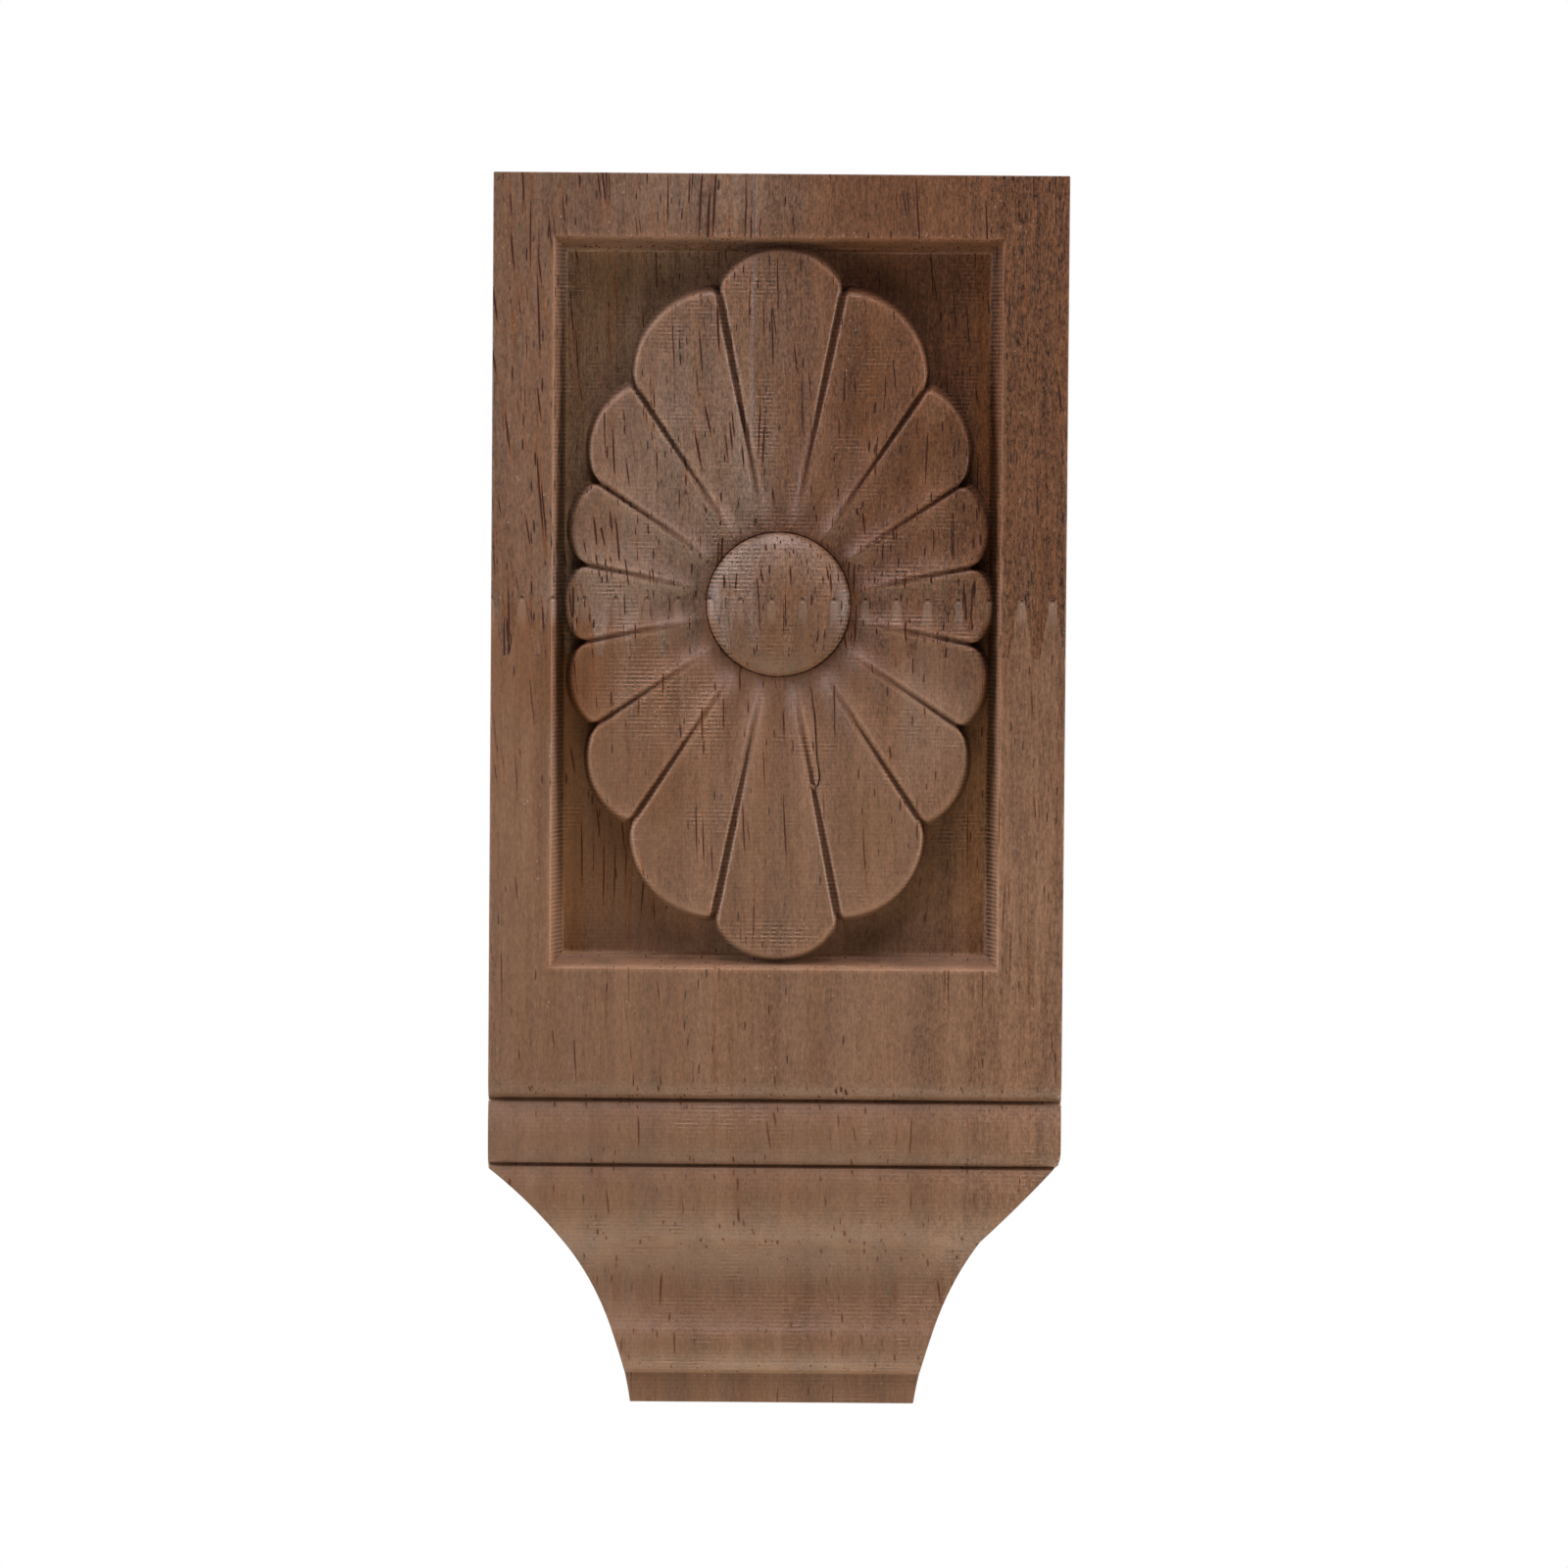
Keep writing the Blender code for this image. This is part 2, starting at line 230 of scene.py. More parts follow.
def footSide(name, sign, shoulder, blunt, kink, foot, turn, f):
    front, deep = fromFace(-f["margin"]), (high.y - low.y) + 2 * f["margin"] * mm
    side = high.x if sign > 0 else low.x
    out = side + sign * f["margin"] * mm

    def at(inset, height):
        return Vector((side - sign * inset * mm, front, fromFoot(height)))

    here = startTrace(name, (out, front, fromFoot(shoulder + blunt)))
    for inset, lift in f["bluntShape"]:
        here = lineTo(here, at(blunt * inset, shoulder + blunt * lift))
    if kink:
        here = lineTo(here, at(*kink))
    here = arcTo(here, at(foot, 0), -sign * turn, (0, 1, 0), f["arcSteps"])
    here = lineTo(here, at(foot, -f["margin"]))
    lineTo(here, (out, front, fromFoot(-f["margin"])))
    return finishTrace((0, deep, 0))


f = footSides
left = (f["leftShoulder"], f["leftBlunt"], None, f["leftInset"], f["leftTurn"])
kink = (f["sawCutInset"], f["sawCutEnd"])
right = (f["rightShoulder"], f["rightBlunt"], kink, f["rightInset"], f["rightTurn"])
leftSide = footSide("leftFootSide", -1, *left, f)
rightSide = footSide("rightFootSide", 1, *right, f)
carve(carvedBlock, "DIFFERENCE", leftSide)
carve(carvedBlock, "DIFFERENCE", rightSide)
report("foot sawn")

# the edges, eased by handling

handling = {
    "width": 0.16,
    "sharperThan": 55,  # degrees between an edge's faces
    "mouldingFrom": 2,  # heights; the long edges between them stay crisp
    "mouldingTo": 41,
    "longerThan": 10,
}


def choose(piece, kind, wanted):  # kind is EDGE or FACE
    bpy.ops.object.mode_set(mode="EDIT")
    bpy.ops.mesh.select_mode(type=kind)
    bpy.ops.mesh.select_all(action="DESELECT")
    shape = bmesh.from_edit_mesh(piece.data)
    for part in shape.edges if kind == "EDGE" else shape.faces:
        part.select_set(wanted(part))
    bmesh.update_edit_mesh(piece.data)


def easeEdges(piece, h):
    def outer(edge):
        if len(edge.link_faces) != 2 or edge.calc_face_angle() < radians(h["sharperThan"]):
            return False
        a, b = (vertex.co for vertex in edge.verts)
        inMoulding = fromFoot(h["mouldingFrom"]) < a.z < fromFoot(h["mouldingTo"])
        isLong = abs(a.x - b.x) > h["longerThan"] * mm
        return not (inMoulding and isLong and a.y < high.y - mm)

    choose(piece, "EDGE", outer)
    bpy.ops.mesh.bevel(offset=h["width"] * mm, segments=2, profile=0.5, clamp_overlap=False)
    bpy.ops.object.mode_set(mode="OBJECT")


easeEdges(carvedBlock, handling)
report("edges eased")


def lump(name, place, size, lean=0, fineness=2):  # place is across, set-back and height
    across, setback, height = place
    deselectAll()
    bpy.ops.mesh.primitive_ico_sphere_add(
        subdivisions=fineness,
        radius=mm,
        location=(across * mm, fromFace(setback), fromFoot(height)),
        rotation=(0, radians(lean), 0),
        scale=size,
    )
    bpy.context.object.name = name
    return bpy.context.object


# knocks along the right-hand edge

knocks = [  # height, set-back and the knock's width, depth and height
    (115.6, 0, (0.34, 0.5, 0.55)),
    (99.7, 0, (0.26, 0.4, 0.4)),
    (95.1, 0, (0.36, 0.5, 0.45)),
    (93.0, 0, (0.42, 0.6, 0.7)),
    (38.4, 0.7, (0.7, 0.9, 0.8)),
    (30.6, 1.2, (0.6, 0.9, 0.7)),
]
for height, setback, size in knocks:
    carve(carvedBlock, "DIFFERENCE", lump("knock", (high.x / mm, setback, height), size))
report("edge knocked")

# the sunk panel

panel = {
    "width": 54.8,
    "height": 89.2,
    "across": -0.25,  # its middle, from the block's
    "middle": 98.25,  # height
    "depth": 5,
    "sideDraft": 1.4,
    "endDraft": 1.65,
    "strip": 0.5,  # round it, cut off so that the arris can be worn
    "arris": 0.16,
    "arrisShape": ((0.1875, 1 / 3), (0.8, 1.2)),  # inset and depth, in shares of it
    "wallShape": ((0.3, 0.28), (0.56, 0.6), (0.6, 0.68), (0.84, 0.76), (0.92, 0.94)),
    "floorRound": 0.3,
    "floorRoundShape": ((0.2, 0.7), (1, 1)),
}


def onFront(face):
    return face.normal.y < -0.99 and face.calc_center_median().y < fromFace(0.05)


def sinkPanel(piece, p):
    halfWidth, halfHeight = p["width"] / 2, p["height"] / 2
    centre, middle = p["across"] * mm, fromFoot(p["middle"])
    for axis, half, origin in ((0, halfWidth, centre), (2, halfHeight, middle)):
        for extra in (p["strip"], 0):
            for sign in (-1, 1):
                place, direction = Vector(), Vector()
                place[axis] = origin + sign * (half + extra) * mm
                direction[axis] = 1
                choose(piece, "FACE", onFront)
                bpy.ops.mesh.bisect(plane_co=place, plane_no=direction)
                bpy.ops.object.mode_set(mode="OBJECT")

    def inside(face):
        spot = face.calc_center_median()
        withinWidth = abs(spot.x - centre) < halfWidth * mm
        return onFront(face) and withinWidth and abs(spot.z - middle) < halfHeight * mm

    arris, side, end, deep, curve = (
        p[name] for name in ("arris", "sideDraft", "endDraft", "depth", "floorRound")
    )
    rings = [(arris * inward, arris * down, arris * inward) for inward, down in p["arrisShape"]]
    for inward, down in p["wallShape"]:
        rings.append((side * down, deep * down, end * inward))
    for inward, down in p["floorRoundShape"]:
        rings.append((side + curve * inward, deep - curve * (1 - down), end + curve * inward))

    choose(piece, "FACE", inside)
    last = Vector((halfWidth, 0, halfHeight))
    for sideInset, depth, endInset in rings:
        ring = Vector((halfWidth - sideInset, depth, halfHeight - endInset))
        extrude((0, (ring.y - last.y) * mm, 0))
        bpy.ops.transform.resize(
            value=(ring.x / last.x, 1, ring.z / last.z), center_override=(centre, 0, middle)
        )
        last = ring
    bpy.ops.object.mode_set(mode="OBJECT")


sinkPanel(carvedBlock, panel)
report("panel sunk")

# the flower: a turned disc, whose points are then moved to the petals' shape

flower = {
    "petals": 16,
    "middle": 98.15,  # height
    "notchHalfWidth": 24.1,  # the notches between petals lie on a pointed ellipse
    "notchHalfHeight": 40.5,
    "notchPower": 1.93,
    "bulge": 0.45,  # rise of a petal's round tip over half its chord
    "endBulge": 0.69,
    "tipSetback": 0.5,  # of the ridges beside the grooves, far out
    "rootSetback": 2.4,  # of the same ridges at the button
    "dishLength": 8.0,
    "hollowDepth": 0.8,
    "hollowEase": 1.0,
    "rootHollow": 0.35,  # more hollow, at the button only
    "rootBed": 2.95,  # set-back of the even ring round the button
    "rootFade": 1.7,
    "grooveSetback": 1.5,
    "grooveSlope": 2.4,
    "grooveBottom": 0.35,
    "grooveRounding": 0.2,
    "rimRounding": 0.75,
    "cornerRounding": 0.55,  # where a petal's rim meets a groove
    "cornerReach": 1.2,
    "rimTurn": 78.3,  # degrees that the rim's rounding turns through
    "wallDraft": 12,  # degrees
    "button": 8.8,
    "buttonGap": 0.12,
    "buttonRise": 2.9,
    "buttonSetback": 3.2,
    "buttonRings": 13,
    "straightInside": 6,  # the mesh lines run straight to the middle
    "petalRings": 44,
    "rimRings": 7,
    "wallRings": 4,
    "beside": (0, 0.12, 0.24, 0.36, 0.47, 0.58, 0.69, 0.81, 0.96),  # mesh lines beside a groove
    "besideShare": 0.62,  # most that they take of half a petal
    "between": 5,  # mesh lines from there to a petal's middle
    "firstGuess": 20,  # of a petal's length, before it is worked out
    "unevenness": 0.035,
    "unevenSpan": 2.6,
}


def notch(angle, f):
    across, up = sin(angle), cos(angle)
    reach = abs(across / f["notchHalfWidth"]) ** f["notchPower"]
    reach += abs(up / f["notchHalfHeight"]) ** f["notchPower"]
    reach **= -1 / f["notchPower"]
    return Vector((reach * across, reach * up))


def rimRadius(petal, across, f):  # across runs from -1 to 1 over a petal
    pitch = 2 * pi / f["petals"]
    first, last = notch((petal - 0.5) * pitch, f), notch((petal + 0.5) * pitch, f)
    halfChord = (last - first).length / 2
    bulge = f["endBulge"] if petal % (f["petals"] // 2) == 0 else f["bulge"]
    swell = bulge * halfChord
    radius = (halfChord**2 + swell**2) / (2 * swell)
    chord = (last - first).normalized()
    centre = (first + last) / 2 - Vector((-chord.y, chord.x)) * (radius - swell)
    angle = (petal + across / 2) * pitch
    ray = Vector((sin(angle), cos(angle)))
    along = ray.dot(centre)
    reach = along + sqrt(max(0, radius**2 - (centre.length_squared - along**2)))
    toGroove = (1 - abs(across)) * reach * sin(pi / f["petals"])
    return reach - f["cornerRounding"] * max(0, 1 - toGroove / f["cornerReach"]) ** 2


def softMax(first, second, width):
    return (first + second + hypot(first - second, width)) / 2


def petalSetback(across, radius, f):
    halfWidth = radius * sin(pi / f["petals"])
    fall = exp((f["button"] - radius) / f["dishLength"])
    ridge = f["tipSetback"] + (f["rootSetback"] - f["tipSetback"]) * fall
    hollow = f["hollowDepth"] * halfWidth / (halfWidth + f["hollowEase"]) + f["rootHollow"] * fall
    hollow *= 1 - across**2
    toGroove = (1 - abs(across)) * halfWidth
    flank = hypot(toGroove, f["grooveBottom"]) - f["grooveBottom"]
    groove = f["grooveSetback"] - f["grooveSlope"] * flank
    setback = softMax(ridge + hollow, groove, f["grooveRounding"])
    even = exp(-(((radius - f["button"]) / f["rootFade"]) ** 2))
    return setback + (f["rootBed"] - setback) * even


def acrossOf(column, radius, f):  # the mesh lines stay at fixed distances from the grooves
    halfWidth = radius * sin(pi / f["petals"])
    beside, between = f["beside"], f["between"]
    edge = min(1, f["besideShare"] * halfWidth / beside[-1])
    half = len(beside) + between - 1
    steps = min(column, 2 * half - column)
    if steps < len(beside):
        distance = beside[steps] * edge
    else:
        share = (steps - len(beside) + 1) / between
        distance = beside[-1] * edge + (halfWidth - beside[-1] * edge) * share
    across = 1 - distance / halfWidth
    return -across if column <= half else across


def turnedDisc(name, rings, columns, f):
    middle = fromFoot(f["middle"])
    here = startTrace(name, (0, low.y, middle))
    for ring in range(1, rings + 1):
        here = lineTo(here, (0, low.y, middle + ring * mm))
    bpy.ops.mesh.select_all(action="SELECT")
    bpy.ops.mesh.spin(steps=columns, angle=-2 * pi, center=(0, low.y, middle), axis=(0, 1, 0))
    bpy.ops.mesh.select_all(action="SELECT")
    bpy.ops.mesh.remove_doubles(threshold=mm / 50)
    bpy.ops.object.mode_set(mode="OBJECT")
    return bpy.context.object


def carvedFlower(f, bed):
    half = len(f["beside"]) + f["between"] - 1
    perPetal = 2 * half
    columns = perPetal * f["petals"]
    rings = f["buttonRings"] + f["petalRings"] + f["rimRings"] + f["wallRings"]
    disc = turnedDisc("flower", rings, columns, f)
    middle = fromFoot(f["middle"])
    root = f["button"] + f["buttonGap"]
    for vertex in disc.data.vertices:
        x, z = vertex.co.x / mm, (vertex.co.z - middle) / mm
        ring = round(hypot(x, z))
        turn = round(atan2(x, z) / (2 * pi) * columns) + half
        petal, column = divmod(turn % columns, perPetal)
        if ring <= f["buttonRings"]:
            lean = pi / 2 * ring / f["buttonRings"]
            radius = f["button"] * sin(lean)
            setback = f["buttonSetback"] - f["buttonRise"] * cos(lean)
            across = acrossOf(column, max(radius, f["straightInside"]), f)
        else:
            share = min(1, (ring - f["buttonRings"] - 1) / (f["petalRings"] - 1))
            radius = root + share * f["firstGuess"]
            for _ in range(4):  # the column, the rim and the radius depend on each other
                across = acrossOf(column, radius, f)
                rim = rimRadius(petal, across, f)
                radius = root + share * (rim - f["rimRounding"] - root)
            setback = petalSetback(across, radius, f)
            onRim = ring - f["buttonRings"] - f["petalRings"]
            if onRim > 0:
                lean = radians(f["rimTurn"]) * min(1, onRim / f["rimRings"])
                radius += f["rimRounding"] * sin(lean)
                setback += f["rimRounding"] * (1 - cos(lean))
            if onRim > f["rimRings"]:
                down = (onRim - f["rimRings"]) / f["wallRings"]
                drop = (bed - setback) * down
                setback += drop
                radius += drop * tan(radians(f["wallDraft"]))
        angle = (petal + across / 2) * 2 * pi / f["petals"]
        x, z = radius * sin(angle), radius * cos(angle)
        if ring <= f["buttonRings"] + f["petalRings"]:
            setback += f["unevenness"] * noise.noise(Vector((x, z, 5)) / f["unevenSpan"])
        vertex.co = (x * mm, fromFace(setback), middle + z * mm)
    return disc


petals = carvedFlower(flower, panel["depth"] + 1)  # it reaches into the floor
choose(petals, "EDGE", lambda edge: edge.is_boundary)
bpy.ops.mesh.edge_face_add()
finishPiece()
carve(carvedBlock, "UNION", petals)
report("flower carved")

# the split beside a groove, and the splinter lifted at its end

split = {
    "path": (  # across, height and half width
        (3.55, 89.7, 0.03),
        (4.05, 87.7, 0.07),
        (4.55, 84.4, 0.1),
        (4.85, 79.4, 0.08),
        (5.2, 77.2, 0.09),
        (4.95, 76.1, 0.1),
        (4.5, 75.9, 0.04),
    ),
    "depth": 2.9,  # set-back of its bottom
    "splinter": ((4.3, 1.32, 76.0), (0.5, 0.26, 0.3)),
    "splinterLean": 35,  # degrees
}


def splitTool(s):
    path, oneSide, otherSide = s["path"], [], []
    for before, (x, height, half), after in zip(path[:1] + path, path, path[1:] + path[-1:]):
        along = Vector((after[0] - before[0], after[1] - before[1])).normalized()
        side = Vector((-along.y, along.x)) * half
        oneSide.append((x + side.x, height + side.y))
        otherSide.insert(0, (x - side.x, height - side.y))
    points = [(x * mm, fromFace(-1), fromFoot(height)) for x, height in oneSide + otherSide]
    here = startTrace("split", points[0])
    for point in points[1:]:
        here = lineTo(here, point)
    return finishTrace((0, (s["depth"] + 1) * mm, 0))


carve(carvedBlock, "DIFFERENCE", splitTool(split))
splinter = lump("splinter", *split["splinter"], lean=split["splinterLean"], fineness=3)
carve(carvedBlock, "UNION", splinter)
report("split cut")

# where the carving is worn light, partly a painted highlight along ridges, rims and the panel's arris;
# where it holds dust, partly painted shade in grooves and round the button; and where the cutter tore it

wear = {
    "ridgeOffset": 0.68,  # of the light line, edge wear and painted highlight, from the groove it runs beside
    "ridgeOffsetLoss": 0.46,  # less of it at the button
    "ridgeLossLength": 4,
    "ridgeWidth": 0.15,
    "rimInset": 0.45,
    "rimWidth": 0.35,
    "taperLength": 6,  # the lines fade in over it
    # dust and painted shade: in the grooves, at the petal roots and round the button
    "grooveDust": 0.34,
    "rootDust": 0.34,
    "rootLength": 2.6,
    "ringDust": 0.75,  # width of the dust and painted shade round the button
    "flowerSetback": 4.6,  # the flower lies in front of it
    "tornSetback": 4,
    "arrisIn": 0.25,  # the panel's worn arris, with painted highlight, from its line
    "arrisOut": 0.02,
    "arrisDepth": 0.4,
    "smoothBelow": 38,  # degrees
    "tornSpots": (  # across and up from the flower's middle, half width and half height
        (-3.5, 39, 3, 2),
        (-13.3, 32.8, 1.9, 2.2),
        (-1.8, 21.5, 1.5, 5.5),
        (-0.4, 10.2, 5, 1.8),
        (-7, 8.8, 2, 2.8),
        (-5.4, 3.9, 3.2, 4.4),
        (-15.8, -11, 5, 5.5),
        (-9.2, -13.5, 3, 5),
        (-9.8, -26, 1.3, 1.3),
        (12, 7.9, 3, 1.4),
        (15, 4, 6, 1.2),
        (14.5, -1.9, 6, 1.1),
        (-20.6, 1.8, 1.9, 1.3),
        (0, -40.4, 5.5, 1.7),
    ),
}


def wearOfFlower(x, up, setback, f, w):  # how worn and how dusty a point is: edge wear and painted highlight on ridges and rims, dust and painted shade in grooves and round the button
    pitch = 2 * pi / f["petals"]
    radius, turn = hypot(x, up), atan2(x, up) / pitch
    petal = round(turn)
    across = max(-0.999, min(0.999, (turn - petal) * 2))
    reach = rimRadius(petal % f["petals"], across, f)
    out = radius - f["button"]
    if not (0 < out and radius < reach + 0.3 and setback < w["flowerSetback"]):
        return 0, 0
    toGroove = (1 - abs(across)) * radius * sin(pitch / 2)
    ridge = w["ridgeOffset"] - w["ridgeOffsetLoss"] * exp(-out / w["ridgeLossLength"])
    onRidge = exp(-(((toGroove - ridge) / w["ridgeWidth"]) ** 2))
    onRim = exp(-(((reach - w["rimInset"] - radius) / w["rimWidth"]) ** 2))
    taper = min(1, max(0, (out - 1) / w["taperLength"]))
    inGroove = exp(-((toGroove / w["grooveDust"]) ** 4)) * taper
    atRoot = w["rootDust"] * exp(-out / w["rootLength"])
    inRing = exp(-((out / w["ringDust"]) ** 2))
    return max(onRidge * taper, onRim), max(inGroove, atRoot, inRing)


def tornness(x, up, setback, w):
    if setback >= w["tornSetback"]:
        return 0
    offs = (
        hypot((x - across) / wide, (up - height) / tall) for across, height, wide, tall in w["tornSpots"]
    )
    return min(1, max(0, 1.5 - min(offs)))


# stores per point the worn edges with painted highlight, the dust with painted shade, and the torn spots
def markWear(piece, f, p, w):
    worn, dusty, rough = (
        piece.data.attributes.new(name, "FLOAT", "POINT").data for name in ("worn", "dusty", "rough")
    )
    for vertex in piece.data.vertices:
        x, setback = vertex.co.x / mm, (vertex.co.y - low.y) / mm
        up = (vertex.co.z - fromFoot(f["middle"])) / mm
        light, dust = wearOfFlower(x, up, setback, f, w)
        toEnd = abs((vertex.co.z - fromFoot(p["middle"])) / mm) - p["height"] / 2
        toSide = abs(x - p["across"]) - p["width"] / 2
        onArris = -w["arrisIn"] < max(toEnd, toSide) < w["arrisOut"]
        worn[vertex.index].value = 1 if onArris and setback < w["arrisDepth"] else light
        dusty[vertex.index].value = dust
        rough[vertex.index].value = tornness(x, up, setback, w)


def smoothAll(piece, angle):
    selectOnly(piece)
    bpy.ops.object.shade_smooth_by_angle(angle=radians(angle))
    for face in piece.data.polygons:  # the broad sawn faces stay flat
        if max(abs(part) for part in face.normal) > 0.99999 and face.area > 2 * mm * mm:
            face.use_smooth = False


markWear(carvedBlock, flower, panel, wear)
smoothAll(carvedBlock, wear["smoothBelow"])
report("wear marked")

# wiring of the wood; a value is a socket, a number, a vector or a tone


def feed(value, socket):
    if isinstance(value, bpy.types.NodeSocket):
        socket.id_data.links.new(value, socket)
    else:
        socket.default_value = (*value, 1) if socket.type == "RGBA" else value


def newNode(kind, values, slots=range(9), **settings):  # beside the sockets that feed it
    trees = [value.id_data for value in values if isinstance(value, bpy.types.NodeSocket)]
    node = trees[0].nodes.new(kind)
    for name, setting in settings.items():
        setattr(node, name, setting)
    for value, slot in zip(values, slots):
        feed(value, node.inputs[slot])
    return node


def calc(operation, *values):
    return newNode("ShaderNodeMath", values, operation=operation).outputs[0]


def times(first, *others):
    for other in others:
        first = calc("MULTIPLY", first, other)
    return first


def plus(first, *terms):  # each term is a value and its factor
    for value, factor in terms:
        first = calc("MULTIPLY_ADD", value, factor, first)
    return first


def greatest(first, *others):
    for other in others:
        first = calc("MAXIMUM", first, other)
    return first


def less(first, second):
    return calc("SUBTRACT", first, second)


def extent(value):
    return calc("ABSOLUTE", value)


def below(value, limit):  # 1 below the limit, 0 above it
    return calc("LESS_THAN", value, limit)


def eased(value, start, end, low=0, high=1, kind="SMOOTHSTEP"):  # low at start, high at end
    values = (value, start, end, low, high)
    return newNode("ShaderNodeMapRange", values, interpolation_type=kind).outputs[0]


def mixed(share, first, second, kind="MIX"):
    values, slots = (share, first, second), (0, 6, 7)
    return newNode("ShaderNodeMix", values, slots, data_type="RGBA", blend_type=kind).outputs[2]


def vectorCalc(operation, *values):
    node = newNode("ShaderNodeVectorMath", values, operation=operation)
    return node.outputs["Value" if operation == "LENGTH" else "Vector"]


def joined(*parts):
    return newNode("ShaderNodeCombineXYZ", parts).outputs[0]


def parted(vector):
    return newNode("ShaderNodeSeparateXYZ", [vector]).outputs


def seeds(position):  # distance to the nearest seed, and two values of its own
    node = newNode("ShaderNodeTexVoronoi", (position, 1), ("Vector", "Scale"))
    first, second, _ = parted(node.outputs["Color"])
    return node.outputs["Distance"], first, second


def clouds(position, scale, start=(0, 0, 0), detail=2, roughness=0.5):
    spot = vectorCalc("MULTIPLY_ADD", position, scale, start)
    slots = ("Vector", "Scale", "Detail", "Roughness")
    return newNode("ShaderNodeTexNoise", (spot, 1, detail, roughness), slots).outputs["Fac"]


def newGroup(name, outputs, **inputs):
    group = bpy.data.node_groups.new(name, "ShaderNodeTree")
    new = group.interface.new_socket
    for title, value in {"position": (0, 0, 0), **inputs}.items():
        kind = "NodeSocketVector" if isinstance(value, tuple) else "NodeSocketFloat"
        new(title.capitalize(), in_out="INPUT", socket_type=kind).default_value = value
    for title in outputs:
        new(title, in_out="OUTPUT", socket_type="NodeSocketFloat")
    given, made = group.nodes.new("NodeGroupInput"), group.nodes.new("NodeGroupOutput")
    return group, given.outputs, made.inputs


def placeGroup(group, **values):
    slots = [name.capitalize() for name in values]
    return newNode("ShaderNodeGroup", values.values(), slots, node_tree=group).outputs


# the wood: a blank of two boards with a finger joint, the upper one laminated

fingers = {
    "pitch": 3.8,
    "tipAt": 29.7,  # across
    "tipHalfWidth": 0.42,
    "top": 98.8,  # heights of the finger tips
    "bottom": 91.8,
    "wobble": 0.3,
    "softness": 0.06,
    "glueInner": 0.02,  # half widths of the glue line
    "glueOuter": 0.1,
    "glueOnSlope": 0.16,  # on slopes the line's distance is this share of the height
    "void": (2.4, 4.5, 0.12, 0.5),  # at a tip: its narrowness, flatness, rise and core
    "fleck": (2.6, 5.5, -0.3, 0.6),  # a light one below it
    "tailStart": 0.2,
    "tailLength": 3.6,
    "tailHalfWidth": 0.6,
    "tailStrength": 0.35,
}


def fingerJointGroup(f):
    group, given, made = newGroup("fingerJoint", ("Lower", "Glue", "Tip", "Fleck"))
    x, _, z = parted(given["Position"])
    wobble = clouds(given["Position"], (0.9, 0.9, 0.5), (3, 1, 7), detail=1)
    x = plus(x, (wobble, f["wobble"]))
    turns = calc("DIVIDE", less(x, f["tipAt"]), f["pitch"])
    toTip = extent(less(turns, calc("ROUND", turns)))
    share = f["tipHalfWidth"] / f["pitch"]
    slope = eased(toTip, share, 0.5 - share, kind="LINEAR")
    top, bottom = mmUp(f["top"]), mmUp(f["bottom"])
    under = less(plus(top, (slope, bottom - top)), z)
    feed(eased(under, -f["softness"], f["softness"]), made["Lower"])

    onSlope = times(slope, less(1, slope))
    away = times(extent(under), eased(onSlope, 0, 0.02, 1, f["glueOnSlope"]))
    feed(eased(away, f["glueOuter"], f["glueInner"]), made["Glue"])

    aside = times(toTip, f["pitch"])
    tip, fleck = (
        eased(plus(times(aside, narrow), (extent(less(z, top + rise)), flat)), 1, core)
        for narrow, flat, rise, core in (f["void"], f["fleck"])
    )
    feed(tip, made["Tip"])
    down, length, half = less(top - f["tailStart"], z), f["tailLength"], f["tailHalfWidth"]
    tail = times(eased(down, 0, 0.3), eased(down, length, length - 2), f["tailStrength"])
    tail = times(tail, eased(aside, half, half - 0.25))
    feed(greatest(fleck, tail), made["Fleck"])
    return group


poreShape = {
    "smallest": 0.65,  # in shares of its kind's size
    "spread": 0.8,
    "raggedness": 0.16,
    "edge": (1.05, 0.85),
    "haloEdge": (1.9, 0.9),
}


def poresGroup(p):
    inputs = {"ragged": 0.5, "spacing": (1, 1, 10), "size": 0.14, "share": 0.5, "lean": 0}
    group, given, made = newGroup("pores", ("Pore", "Halo"), **inputs)
    x, y, z = parted(given["Position"])
    leant = joined(plus(x, (z, given["Lean"])), y, z)
    distance, chance, sizing = seeds(vectorCalc("DIVIDE", leant, given["Spacing"]))
    size = times(given["Size"], plus(p["smallest"], (sizing, p["spread"])))
    away = plus(distance, (less(given["Ragged"], 0.5), p["raggedness"]))
    away = calc("DIVIDE", away, size)
    isOpen = below(chance, given["Share"])
    feed(times(eased(away, *p["edge"]), isOpen), made["Pore"])
    feed(times(eased(away, *p["haloEdge"]), isOpen), made["Halo"])
    return group


fibreKinds = {  # scale, start, detail and roughness
    "Bands": ((0.3, 0.3, 0.018), (2, 5, 1), 2, 0.5),
    "Streaks": ((1.5, 1.5, 0.06), (11, 3, 8), 3, 0.6),
    "Fine": ((6.5, 6.5, 0.45), (5, 17, 2), 2, 0.65),
}


def fibreGroup(kinds):
    group, given, made = newGroup("fibre", kinds)
    for name, kind in kinds.items():
        feed(eased(clouds(given["Position"], *kind), 0.25, 0.75, -1, 1), made[name])
    return group


cutter = {
    "pitch": 0.51,
    "sharpness": 2.2,  # of the ridges between its lines
    "dashes": 0.55,  # torn and whole stretches, to a millimetre
    "dashesRough": 0.75,  # more of them on rough spots
    "rowStep": 7.31,  # so that each line is torn in its own places
    "footLines": ((18.6, 2.2, 0.5), (12, 2.6, 0.5), (4.9, 0.8, 0.9)),  # height, half height, strength
    "light": 0.7,  # of torn lines, on their ridges
    "lightRough": 0.5,
    "dark": -0.2,
    "darkRough": -0.25,
    "floorTear": -0.6,
    # painted shade on the deep part of steep walls
    "wallFoot": -0.24,
    "wallSteps": 0.6,
    "wallStepsDeep": 0.3,
    "flatSteps": 0.045,
}


